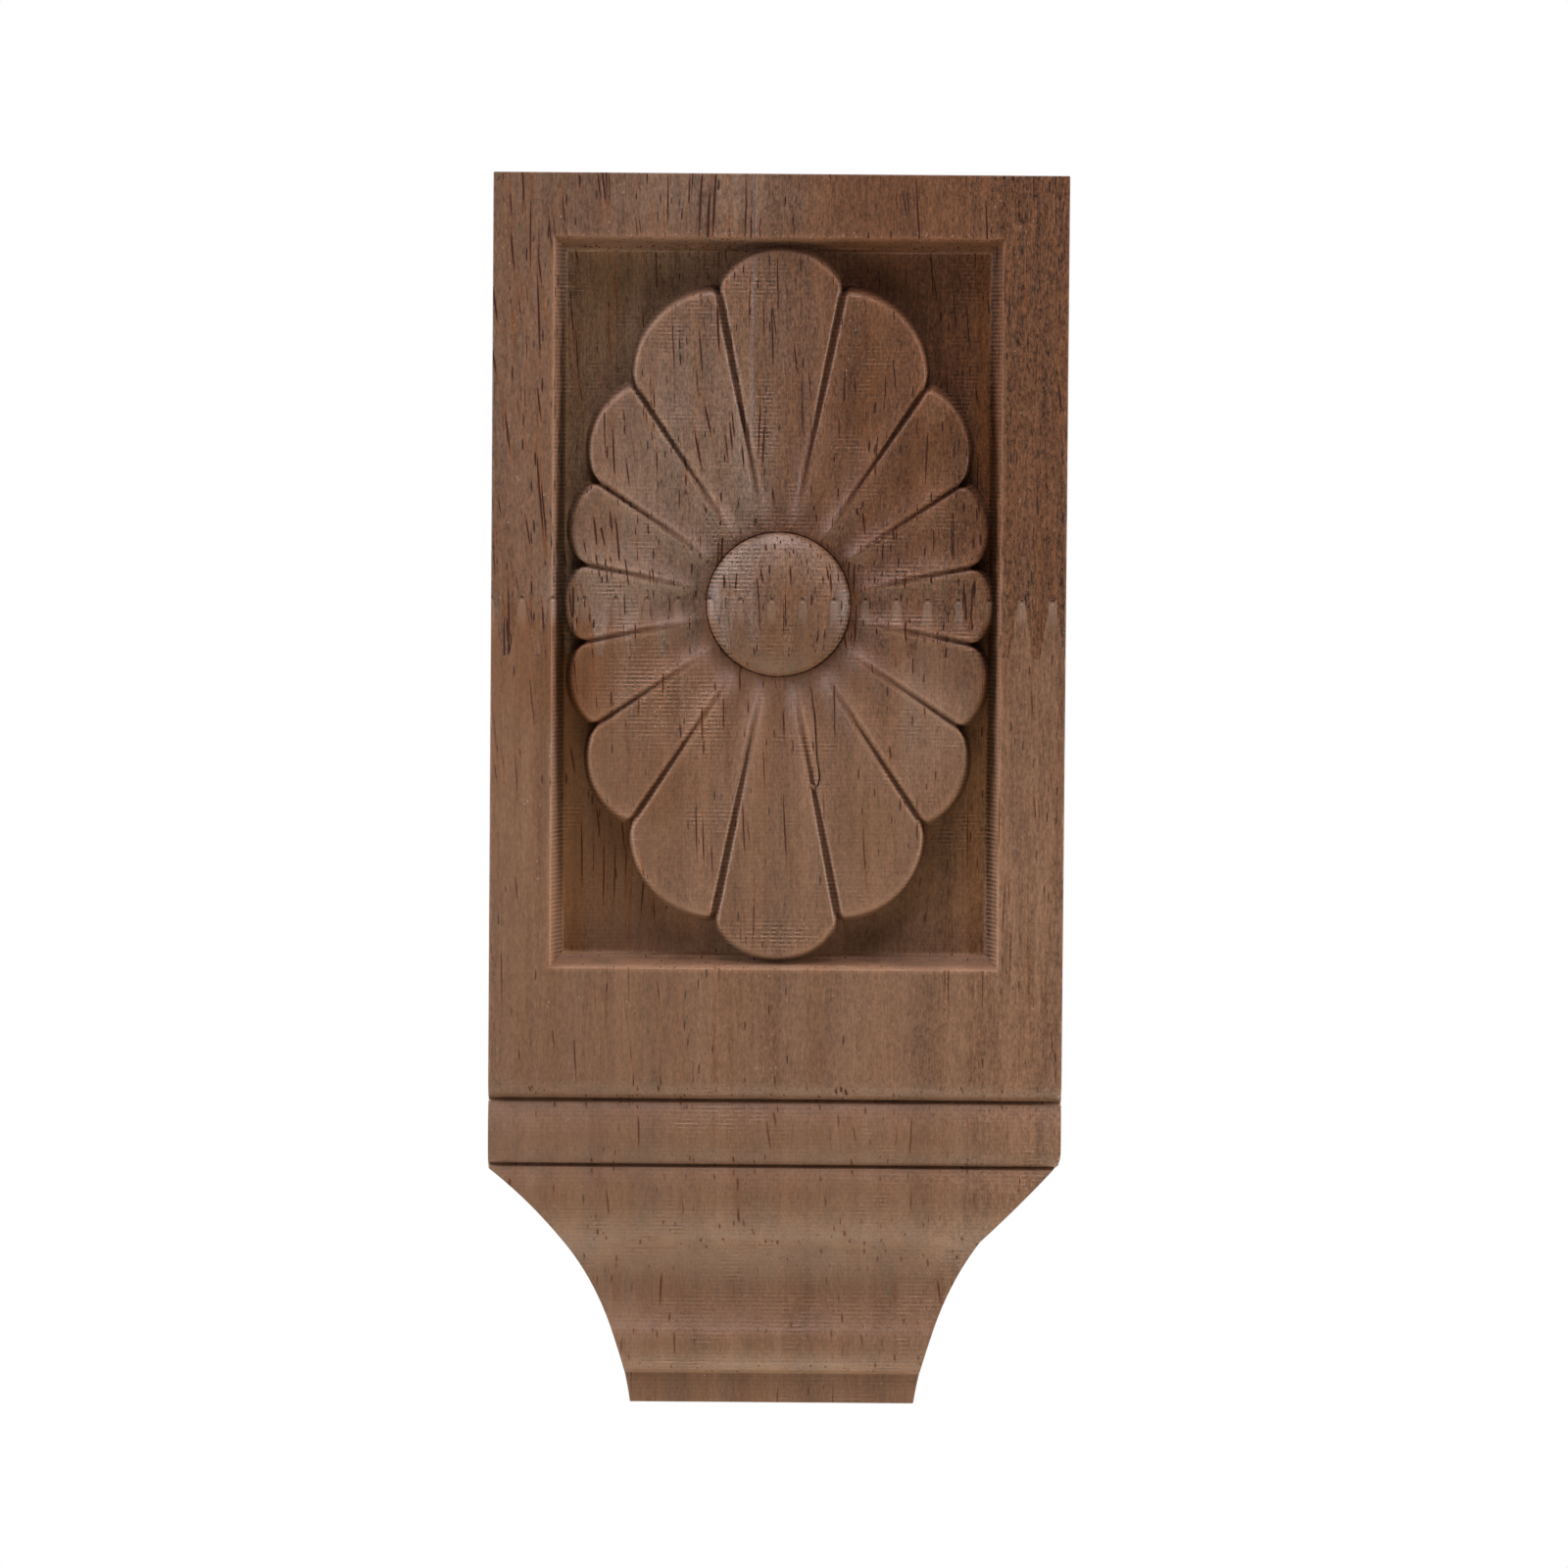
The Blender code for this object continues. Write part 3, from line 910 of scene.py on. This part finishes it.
def toolMarksGroup(c):
    group, given, made = newGroup("toolMarks", ("Ridge", "Torn"), rough=0)
    x, _, z = parted(given["Position"])
    line = calc("DIVIDE", z, c["pitch"])
    aside = extent(less(line, calc("ROUND", line)))
    feed(calc("POWER", times(aside, 2), c["sharpness"]), made["Ridge"])
    along = times(x, plus(c["dashes"], (given["Rough"], c["dashesRough"])))
    row = times(calc("FLOOR", line), c["rowStep"])
    dashes = clouds(joined(along, row, 0), (1, 1, 1), roughness=0.6)
    patches = clouds(given["Position"], (0.16, 0.16, 0.16), (8, 3, 4), roughness=0.6)
    patches = greatest(eased(patches, 0.55, 0.7), given["Rough"])
    feed(times(eased(dashes, 0.42, 0.58), patches), made["Torn"])
    return group


fingerJoint, pores = fingerJointGroup(fingers), poresGroup(poreShape)
fibre, toolMarks = fibreGroup(fibreKinds), toolMarksGroup(cutter)

blank = {
    "lamination": -3.3,  # across, where the right-hand layer begins
    "seamWobble": 1.2,
    "seamHalfWidth": 0.3,
    "rightLayer": 0.35,  # of its full tone, at the seam
    "rightReach": (1, 15),
    "lowerReach": 26,  # the lower board darkens over it, up to the joint
    "rightEdge": (14, 29),  # across, where the wood grows streakier
    "faintReach": (-3, 2),  # across, where the joint fades
    "faintMiddle": 95.65,
    "faintHeights": (10, 4.5),  # up and down from there
    "wallReach": (22.5, 24.5),  # across, towards the panel's walls, where the floor gets painted shade
    "floorReach": (3.6, 4.9),  # set-backs where the panel's floor begins
    "panelHalfWidth": 27.9,
    "panelHalfHeight": 45.2,
    "panelSetback": 8,
    "petalSetback": 4.5,
}

woodTones = {
    "lowerBoard": (0.225, 0.119, 0.065),
    "lowerAtJoint": (0.202, 0.103, 0.055),
    "upperLeft": (0.183, 0.097, 0.055),
    "upperRight": (0.151, 0.065, 0.03),
    "faintJoint": (0.178, 0.086, 0.044),  # both boards look alike on the right of the flower
    "pore": (0.034, 0.009, 0.002),
    "halo": (0.2, 0.06, 0.014),
    "fibreEnd": (0.5, 0.38, 0.28),
    "stain": (0.18, 0.071, 0.026),
    "warm": (1.06, 0.93, 0.8),  # from here on tints, which multiply the tone below
    # paler patches of wood, and painted highlight on the button's top
    "pale": (1.22, 1.45, 1.68),
    # darker patches of wood, and painted shade on the button
    "darker": (0.84, 0.82, 0.72),
    "floor": (1.12, 1.09, 1.03),
    "floorLeft": (1.37, 1.43, 1.33),
    "floorLower": (1.18, 1.15, 1.04),
    # painted shade on the floor beside the panel's walls
    "besideWall": (0.9, 0.82, 0.68),
    # darkens grooves, petal roots and the ring round the button: dust and painted shade
    "dust": (0.55, 0.4, 0.32),
    "glue": (0.5, 0.42, 0.36),
    "sawnEnd": (0.55, 0.48, 0.42),
    # painted shade on the outer sawn sides
    "sawnSide": (0.62, 0.58, 0.52),
}


def readPlace(tree, b):  # where a point lies, in mm, and on which part
    w = SimpleNamespace()
    w.place = tree.nodes.new("ShaderNodeTexCoord").outputs["Object"]
    w.place = vectorCalc("MULTIPLY", w.place, (1 / mm, 1 / mm, 1 / mm))
    w.x, w.y, w.z = parted(w.place)
    w.setback = less(w.y, low.y / mm)
    w.up = less(w.z, mmUp(flower["middle"]))
    normal = tree.nodes.new("ShaderNodeNewGeometry").outputs["Normal"]
    across, _, upward = parted(normal)
    w.sideways, w.endways = extent(across), extent(upward)

    w.joint = placeGroup(fingerJoint, position=w.place)
    w.lower = w.joint["Lower"]
    w.upper = less(1, w.lower)
    wobble = clouds(w.place, (0.1, 0.1, 0.06), (4, 4, 4))
    beyond = plus(less(w.x, b["lamination"] + b["seamWobble"] / 2), (wobble, b["seamWobble"]))
    w.seam = eased(beyond, -b["seamHalfWidth"], b["seamHalfWidth"])
    w.right = times(w.seam, b["rightLayer"])
    w.right = plus(w.right, (eased(beyond, *b["rightReach"]), 1 - b["rightLayer"]))
    w.upperRight = times(w.seam, w.upper)
    boards = joined(times(w.lower, 41), times(w.lower, 13), times(w.upperRight, 57))
    w.inBoard = vectorCalc("ADD", w.place, boards)  # each board has its own grain

    w.inPanel = times(
        below(extent(w.x), b["panelHalfWidth"]),
        below(extent(w.up), b["panelHalfHeight"]),
        below(w.setback, b["panelSetback"]),
    )
    w.onFloor = times(w.inPanel, eased(w.setback, *b["floorReach"]))
    w.lowerPetals = times(w.lower, below(w.setback, b["petalSetback"]))
    w.atRight = eased(w.x, *b["rightEdge"])
    w.onFoot = eased(w.z, mmUp(38), mmUp(35))
    offMiddle = vectorCalc("LENGTH", joined(w.x, w.up, 0))
    button = flower["button"]
    onButton = times(eased(offMiddle, button, button - 0.5), below(w.setback, 6))
    # where painted highlight falls on the button
    w.buttonTop = times(onButton, eased(w.up, 0, 6))
    w.buttonLeft = times(onButton, w.upper, eased(w.x, 3, -2, 0.1, 0.4))
    # painted shade on the button's sides and lower part
    w.buttonSides = times(onButton, eased(extent(w.x), 4, 8))
    w.buttonLower = times(onButton, w.lower)

    w.outerSide = times(eased(w.sideways, 0.5, 0.75), less(1, w.inPanel))
    halfHeight = high.z / mm
    atEnd, last = (
        eased(extent(w.z), halfHeight - inside, halfHeight - inside + 0.2) for inside in (0.35, 0.25)
    )
    outerEnd = times(eased(w.endways, 0.6, 0.9), atEnd)
    w.sawn = greatest(w.outerSide, outerEnd, eased(w.y, -1.5, -0.6))
    w.sawnEnd = times(last, eased(w.endways, 0.75, 0.98))
    w.carved = times(eased(w.setback, 0.1, 0.3), less(1, w.sawn))
    # reads the marked masks: wear with painted highlight, dust with painted shade, and torn spots
    for name in ("worn", "dusty", "rough"):
        node = tree.nodes.new("ShaderNodeAttribute")
        node.attribute_name = name
        setattr(w, name, node.outputs["Fac"])
    return w


amounts = {  # of each tone, and what is added to it in some places
    "faint": 0.75,
    "warm": 0.5,
    "pale": 0.95,  # painted highlight on the button's top and upper left; the next two, on the button too, are painted shade on its lower part and sides
    "darkLower": 0.5,
    "darkSides": 0.6,
    "halo": 0.6,
    "haloAtLeft": 0.2,
    "worn": 0.33,  # lighter by it: edge wear and painted highlight
    # dust and painted shade in grooves, at petal roots and round the button
    "dust": 0.74,
    "dustInLower": -0.17,
    "glue": 0.22,
    "tip": 0.9,
    "lifted": 0.48,
    "fleck": 0.42,
    "pore": 0.95,
    "poreInLower": -0.2,
    "poreOnFoot": -0.22,
    "sawnEnd": 0.35,
    # painted shade on the outer sawn sides
    "sawnSide": 0.85,
}


def cover(w, tone, *shares, kind="MIX"):  # the colour so far; the shares are multiplied
    w.colour = mixed(times(*shares), w.colour, tone, kind)


def tint(w, tone, *shares):
    cover(w, tone, *shares, kind="MULTIPLY")


def layBoards(w, t, a, b):
    w.colour = mixed(w.right, t["upperLeft"], t["upperRight"])
    toJoint = eased(w.z, mmUp(fingers["bottom"] - b["lowerReach"]), mmUp(fingers["bottom"]))
    cover(w, mixed(toJoint, t["lowerBoard"], t["lowerAtJoint"]), w.lower)
    nearJoint = eased(extent(less(w.z, mmUp(b["faintMiddle"]))), *b["faintHeights"])
    cover(w, t["faintJoint"], eased(w.x, *b["faintReach"]), nearJoint, w.inPanel, a["faint"])


grain = {
    "bands": 0.14,  # how far each lightens and darkens the wood
    "streaks": 0.13,
    "fine": 0.19,
    "atRight": 0.7,  # streaks and fine fibre are stronger there
    "inLower": -0.35,
    "speckle": 1.1,
    "speckleUpper": 0.75,
    "speckleFoot": -0.45,
    "speckleMiddle": 0.35,
    "speckleAtRight": 0.3,
}


def grainShade(w, fibres, g):
    strength = plus(1, (w.atRight, g["atRight"]), (w.lower, g["inLower"]))
    shade = plus(1, (fibres["Bands"], g["bands"]))
    for name in ("Streaks", "Fine"):
        shade = plus(shade, (times(fibres[name], strength), g[name.lower()]))
    speckle = clouds(w.place, (4.2, 4.2, 1.7), (1, 9, 3), roughness=0.8)
    amount = times(
        plus(g["speckle"], (w.upper, g["speckleUpper"])),
        plus(1, (eased(w.x, -20, -6), g["speckleMiddle"])),
        plus(1, (w.atRight, g["speckleAtRight"])),
    )
    amount = plus(amount, (w.onFoot, g["speckleFoot"]))
    return plus(shade, (less(speckle, 0.5), amount))


patches = {  # tone: across and up from the flower's middle, half width and height, share and board
    "pale": (
        (-4, 17, 5, 14, 0.95, "upper"),
        (-21, 2, 9, 10, 0.95, "upper"),
        (-13, 14, 13, 27, 0.62, "upper"),
        (-8, 50, 16, 5, 0.475, "upper"),
        (18.5, -13, 6, 11, 0.52, "lower"),
        (31, 3, 4, 4, 0.19, "upper"),
        (19, 5, 5, 4, 0.285, "upper"),
        (0, 34, 6, 8, 0.24, "upper"),
    ),
    "stain": (
        (-24, -9, 5, 14, 0.85, "lowerPetals"),
        (-15, -22, 6, 7, 0.425, "lower"),
        (-27.5, -8, 3, 10, 0.6, "lower"),
        (-31, -7, 6, 9, 0.425, "lower"),
        (-31, -3.5, 3, 5, 0.6, "upper"),
    ),
    "darker": (
        (10, 27, 4.5, 9, 0.9, "upper"),
        (18, 18, 7, 6, 0.9, "upper"),
        (10, -27, 5, 7, 0.5, "lower"),
    ),
}


def patchesOf(w, uneven, rows):
    masks = []
    for across, up, halfWidth, halfHeight, share, board in rows:
        dx, dz = times(less(w.x, across), 1 / halfWidth), times(less(w.up, up), 1 / halfHeight)
        away = plus(vectorCalc("LENGTH", joined(dx, dz, 0)), (uneven, 0.9))
        masks.append(times(eased(away, 1.5, 0.75), getattr(w, board), share))
    return masks


def layPatches(w, t, a):
    uneven = clouds(w.place, (0.35, 0.35, 0.12), (2, 2, 9))
    masks = {tone: patchesOf(w, uneven, rows) for tone, rows in patches.items()}
    # painted highlight: the pale tone over the button's top and upper left
    onButton = times(greatest(w.buttonTop, w.buttonLeft), a["pale"])
    tint(w, t["pale"], greatest(*masks["pale"], onButton))
    cover(w, t["stain"], greatest(*masks["stain"]))
    # painted shade: darker over the button's lower part and sides
    lower, sides = times(w.buttonLower, a["darkLower"]), times(w.buttonSides, a["darkSides"])
    tint(w, t["darker"], greatest(*masks["darker"], lower, sides))


poreKinds = {  # spacing in mm, size, lean, how common, and how much more so at the left
    "long": ((0.5, 0.8, 19), 0.19, 0.02, 1, 0),
    "leaning": ((0.55, 0.8, 10), 0.175, 0.12, 0.4, 0.65),
    "short": ((0.5, 0.7, 3.4), 0.18, 0, 0.6, 0),
}
poreCrowd = {"lower": -0.62, "upperRight": -0.15, "onFoot": -0.3}  # fewer of them there


def layPores(w, ragged):  # most in the upper left board
    crowd = clouds(w.inBoard, (0.11, 0.11, 0.03), (3, 3, 3))
    share = eased(crowd, 0.35, 0.62, 0.45, 1)
    for board, more in poreCrowd.items():
        share = times(share, plus(1, (getattr(w, board), more)))
    w.atLeft = times(eased(w.x, -20, -29), w.upper)
    bend = clouds(w.inBoard, (0.07, 0.07, 0.022), (9, 2, 4), detail=1)
    bent = vectorCalc("ADD", w.inBoard, joined(times(bend, 5), 0, 0))
    laid = {}
    for name, (spacing, size, lean, common, more) in poreKinds.items():
        here = times(share, plus(common, (w.atLeft, more)))
        laid[name] = placeGroup(
            pores, position=bent, ragged=ragged, spacing=spacing, size=size, share=here, lean=lean
        )
    pore = greatest(*(kind["Pore"] for kind in laid.values()))
    return pore, greatest(laid["long"]["Halo"], laid["leaning"]["Halo"])


def layDust(w, t, a):  # dust and painted shade, the tones of the panel's floor, and painted shade beside its walls
    tone = mixed(times(less(1, w.right), w.upper), t["floor"], t["floorLeft"])
    tint(w, mixed(w.lower, tone, t["floorLower"]), w.onFloor)
    # painted shade: the floor beside the panel's walls darker and warmer
    nearWall = eased(extent(w.x), *blank["wallReach"])
    tint(w, t["besideWall"], w.onFloor, nearWall, greatest(w.lower, w.seam))
    # dust and painted shade, darker in grooves, at petal roots and round the button
    tint(w, t["dust"], w.dusty, plus(a["dust"], (w.lower, a["dustInLower"])))


def cutterMarks(w, shade, c):  # on all that was carved
    onFoot = []
    for height, half, strong in c["footLines"]:
        off = extent(less(w.z, mmUp(height)))
        onFoot.append(eased(off, half, half * 0.5, 0, strong))
    broad = eased(clouds(w.place, (0.07, 0.07, 0.2), (3, 8, 8)), 0.42, 0.6)
    rough = greatest(w.rough, times(greatest(*onFoot), broad))
    marks = placeGroup(toolMarks, position=w.place, rough=rough)
    torn, ridge = times(marks["Torn"], w.carved), marks["Ridge"]
    light, dark = eased(ridge, 0.35, 0.9), eased(ridge, 0.3, 0.02)
    lighter = plus(c["light"], (rough, c["lightRough"]))
    darker = plus(c["dark"], (rough, c["darkRough"]))
    shade = plus(shade, (times(torn, light), lighter), (times(torn, dark), darker))

    wall = times(eased(w.sideways, 0.25, 0.75), w.carved)
    # painted shade, darker down the steep walls
    shade = plus(shade, (times(wall, eased(w.setback, 1.6, 3.6)), c["wallFoot"]))
    deeper = plus(c["wallSteps"], (eased(w.setback, 1.5, 3), c["wallStepsDeep"]))
    flats = times(w.carved, eased(w.setback, 4.6, 4.2))
    stepped = plus(times(wall, deeper), (flats, c["flatSteps"]))
    shade = plus(shade, (stepped, less(ridge, 0.35)))
    return shade, ridge, times(torn, plus(1, (w.onFloor, c["floorTear"])))


endRings = {
    "pithAcross": -38,
    "pithBehind": 34,
    "turn": 1.7,  # radians of a ring to a millimetre
    "wobble": 9,
    "strength": 0.1,
    "share": 0.75,
}


def endGrain(w, shade, e):  # rings instead of streaks
    fromPith = joined(less(w.x, e["pithAcross"]), less(w.y, e["pithBehind"]), 0)
    ring = times(vectorCalc("LENGTH", fromPith), e["turn"])
    ring = plus(ring, (clouds(fromPith, (0.12, 0.12, 0.12)), e["wobble"]))
    rings = plus(1, (calc("SINE", ring), e["strength"]))
    return plus(shade, (less(rings, shade), times(w.sawnEnd, e["share"])))


fibreEnds = {"perMm": (1.9, 1.9, 1.5), "smallest": 0.14, "spread": 0.16, "common": 0.75, "onRough": 0.9}


def liftedFibres(w, f):  # in patches, on rough spots and along the panel's upper arris
    distance, chance, length = seeds(vectorCalc("MULTIPLY", w.place, f["perMm"]))
    patch = clouds(w.place, (0.3, 0.3, 0.2), (6, 1, 2), detail=3, roughness=0.7)
    arris = mmUp(panel["middle"] + panel["height"] / 2)
    offArris = extent(less(w.z, arris + 0.25))
    onArris = times(eased(offArris, 0.7, 0.3), eased(extent(w.x), 28, 24))
    patch = greatest(eased(patch, 0.58, 0.67), times(greatest(onArris, w.rough), f["onRough"]))
    reach = calc("DIVIDE", distance, plus(f["smallest"], (length, f["spread"])))
    return times(eased(reach, 1, 0.4), patch, below(chance, f["common"]))


gloss = {
    "roughness": 0.42,  # the next six are added to it
    "fine": 0.04,
    "pores": 0.6,
    "dust": 0.6,
    "buttonTop": -0.06,
    "sawn": 0.32,
    "torn": 0.12,
    "specular": 0.38,
}

relief = {  # in mm
    "pores": -0.04,
    "fine": 0.008,
    "streaks": 0.012,
    "cutterRidges": 0.018,
    "tornRidges": 0.03,
    "liftedFibres": 0.025,
}


def paintWood(t, a, g, r):
    wood = bpy.data.materials.new("wood")
    wood.use_nodes = True
    tree = wood.node_tree
    shader = tree.nodes["Principled BSDF"]
    w = readPlace(tree, blank)
    fibres = placeGroup(fibre, position=w.inBoard)
    layBoards(w, t, a, blank)
    shade = grainShade(w, fibres, grain)
    hue = clouds(w.inBoard, (0.5, 0.5, 0.03), (7, 21, 3))
    tint(w, t["warm"], eased(hue, 0.35, 0.68), a["warm"])
    layPatches(w, t, a)

    ragged = clouds(w.inBoard, (9, 9, 1.6), detail=1)
    pore, halo = layPores(w, ragged)
    cover(w, t["halo"], halo, plus(a["halo"], (w.atLeft, a["haloAtLeft"])))
    layDust(w, t, a)
    # lightens worn ridges, rims and the panel's arris: edge wear and painted highlight
    shade = plus(shade, (w.worn, a["worn"]))
    shade, ridge, torn = cutterMarks(w, shade, cutter)
    shade = endGrain(w, shade, endRings)

    # the glue line, with voids at the finger tips and at the left
    tint(w, t["glue"], w.joint["Glue"], a["glue"])
    gaps = times(eased(ragged, 0.5, 0.56), w.joint["Glue"], eased(w.x, -26.5, -28))
    pore = greatest(pore, times(w.joint["Tip"], a["tip"]), gaps)

    tint(w, joined(shade, shade, shade), 1)
    lifted = liftedFibres(w, fibreEnds)
    cover(w, t["fibreEnd"], lifted, a["lifted"])
    cover(w, t["fibreEnd"], w.joint["Fleck"], less(1, w.outerSide), a["fleck"])
    filled = plus(a["pore"], (w.lower, a["poreInLower"]), (w.onFoot, a["poreOnFoot"]))
    cover(w, t["pore"], pore, filled)
    tint(w, t["sawnEnd"], w.sawnEnd, a["sawnEnd"])
    # painted shade: the outer sawn sides darkened
    tint(w, t["sawnSide"], w.outerSide, a["sawnSide"])
    feed(w.colour, shader.inputs["Base Color"])

    dull = plus(
        g["roughness"],
        (fibres["Fine"], g["fine"]),
        (pore, g["pores"]),
        (w.dusty, g["dust"]),
        (w.buttonTop, g["buttonTop"]),
        (w.sawn, g["sawn"]),
        (torn, g["torn"]),
    )
    feed(calc("MINIMUM", dull, 1), shader.inputs["Roughness"])
    shader.inputs["Specular IOR Level"].default_value = g["specular"]

    height = plus(
        times(pore, r["pores"]),
        (fibres["Fine"], r["fine"]),
        (fibres["Streaks"], r["streaks"]),
        (times(ridge, w.carved), r["cutterRidges"]),
        (times(ridge, torn, w.carved), r["tornRidges"]),
        (lifted, r["liftedFibres"]),
    )
    bump = newNode("ShaderNodeBump", (height, mm, 1), ("Height", "Distance", "Strength"))
    feed(bump.outputs[0], shader.inputs["Normal"])
    return wood


carvedBlock.data.materials.clear()
carvedBlock.data.materials.append(paintWood(woodTones, amounts, gloss, relief))
report("wood painted")

# camera, floor and light

studio = {
    "distance": 1.0,
    "elevation": 3.0,  # degrees
    "roll": 0.45,
    "frameWidth": 191 * mm,  # seen at the distance
    "shift": (0.0044, 0.0058),
    "floorDrop": 1.0,
    "floorRadius": 2.6,
    "floorSides": 96,
    "floorTone": (0.8, 0.8, 0.8),
    "floorRoughness": 0.9,
    "floorGlow": (0.62, 0.62, 0.61),  # seen by the camera only
    "ambient": (0.9, 0.95, 1),
    "ambientStrength": 0.06,
    "lampDistance": 0.9,
    "lampSize": 0.35,
    "lamps": {  # elevation, azimuth, power and colour; aimed at the origin
        "top": (85, 0, 4.8, (0.92, 0.93, 1)),
        "topFront": (63, 0, 3.9, (0.86, 0.86, 1)),
        "left": (0, -70, 5.4, (0.82, 0.86, 1)),
        "upperLeft": (30, -80, 5.5, (0.8, 0.87, 1)),
        "frontRight": (0, 70, 2.2, (0.93, 0.94, 1)),
        "right": (0, 82, 7.2, (0.88, 0.9, 1)),
        "upperRight": (30, 80, 2.0, (0.95, 0.95, 1)),
        "lowerFront": (-50, 0, 1.7, (1, 0.92, 0.68)),
        "bottom": (-85, 0, 2.6, (1, 0.93, 0.71)),
        "backLeft": (20, -148, 5.5, (1, 0.97, 0.94)),
        "backRight": (20, 148, 4.5, (0.94, 0.97, 1)),
    },
}


def setCamera(s):
    tilt = radians(s["elevation"])
    back = Vector((0, -cos(tilt), sin(tilt)))
    bpy.ops.object.camera_add(location=Vector((0, low.y, 0)) + back * s["distance"])
    camera = bpy.context.object
    turn = (-back).to_track_quat("-Z", "Y") @ Quaternion((0, 0, 1), radians(s["roll"]))
    camera.rotation_euler = turn.to_euler()
    camera.data.lens = camera.data.sensor_width * s["distance"] / s["frameWidth"]
    camera.data.shift_x, camera.data.shift_y = s["shift"]
    bpy.context.scene.camera = camera


def hangLamps(s):
    for name, (elevation, azimuth, power, colour) in s["lamps"].items():
        a, e = radians(azimuth), radians(elevation)
        away = Vector((sin(a) * cos(e), -cos(a) * cos(e), sin(e)))
        bpy.ops.object.light_add(type="AREA", location=away * s["lampDistance"])
        lamp = bpy.context.object
        lamp.name = lamp.data.name = name
        lamp.rotation_euler = away.to_track_quat("Z", "Y").to_euler()
        lamp.data.size = s["lampSize"]
        lamp.data.energy = power
        lamp.data.color = colour
        lamp.visible_camera = False


def paintSurroundings(s):  # white to the camera, dim to the object
    world = bpy.data.worlds.new("studioWorld")
    bpy.context.scene.world = world
    world.use_nodes = True
    tree = world.node_tree
    dim, white = tree.nodes["Background"], tree.nodes.new("ShaderNodeBackground")
    feed(s["ambient"], dim.inputs["Color"])
    feed(s["ambientStrength"], dim.inputs["Strength"])
    feed((1, 1, 1), white.inputs["Color"])
    seen = tree.nodes.new("ShaderNodeLightPath").outputs["Is Camera Ray"]
    mixer = newNode("ShaderNodeMixShader", (seen, dim.outputs[0], white.outputs[0]))
    feed(mixer.outputs[0], tree.nodes["World Output"].inputs["Surface"])


def layFloor(s):
    bpy.ops.mesh.primitive_circle_add(
        vertices=s["floorSides"],
        radius=s["floorRadius"],
        fill_type="NGON",
        location=(0, 0, low.z - s["floorDrop"]),
    )
    floor = bpy.context.object
    floor.name = "floor"
    paint = bpy.data.materials.new("floorPaint")
    paint.use_nodes = True
    tree = paint.node_tree
    shader = tree.nodes["Principled BSDF"]
    feed(s["floorTone"], shader.inputs["Base Color"])
    shader.inputs["Roughness"].default_value = s["floorRoughness"]
    seen = tree.nodes.new("ShaderNodeLightPath").outputs["Is Camera Ray"]
    feed(mixed(seen, (0, 0, 0), s["floorGlow"]), shader.inputs["Emission Color"])
    shader.inputs["Emission Strength"].default_value = 1
    floor.data.materials.append(paint)


setCamera(studio)
hangLamps(studio)
paintSurroundings(studio)
layFloor(studio)
bpy.context.scene.view_settings.view_transform = "Standard"
report("studio set")

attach(carvedBlock, "root")
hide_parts("carved_block")
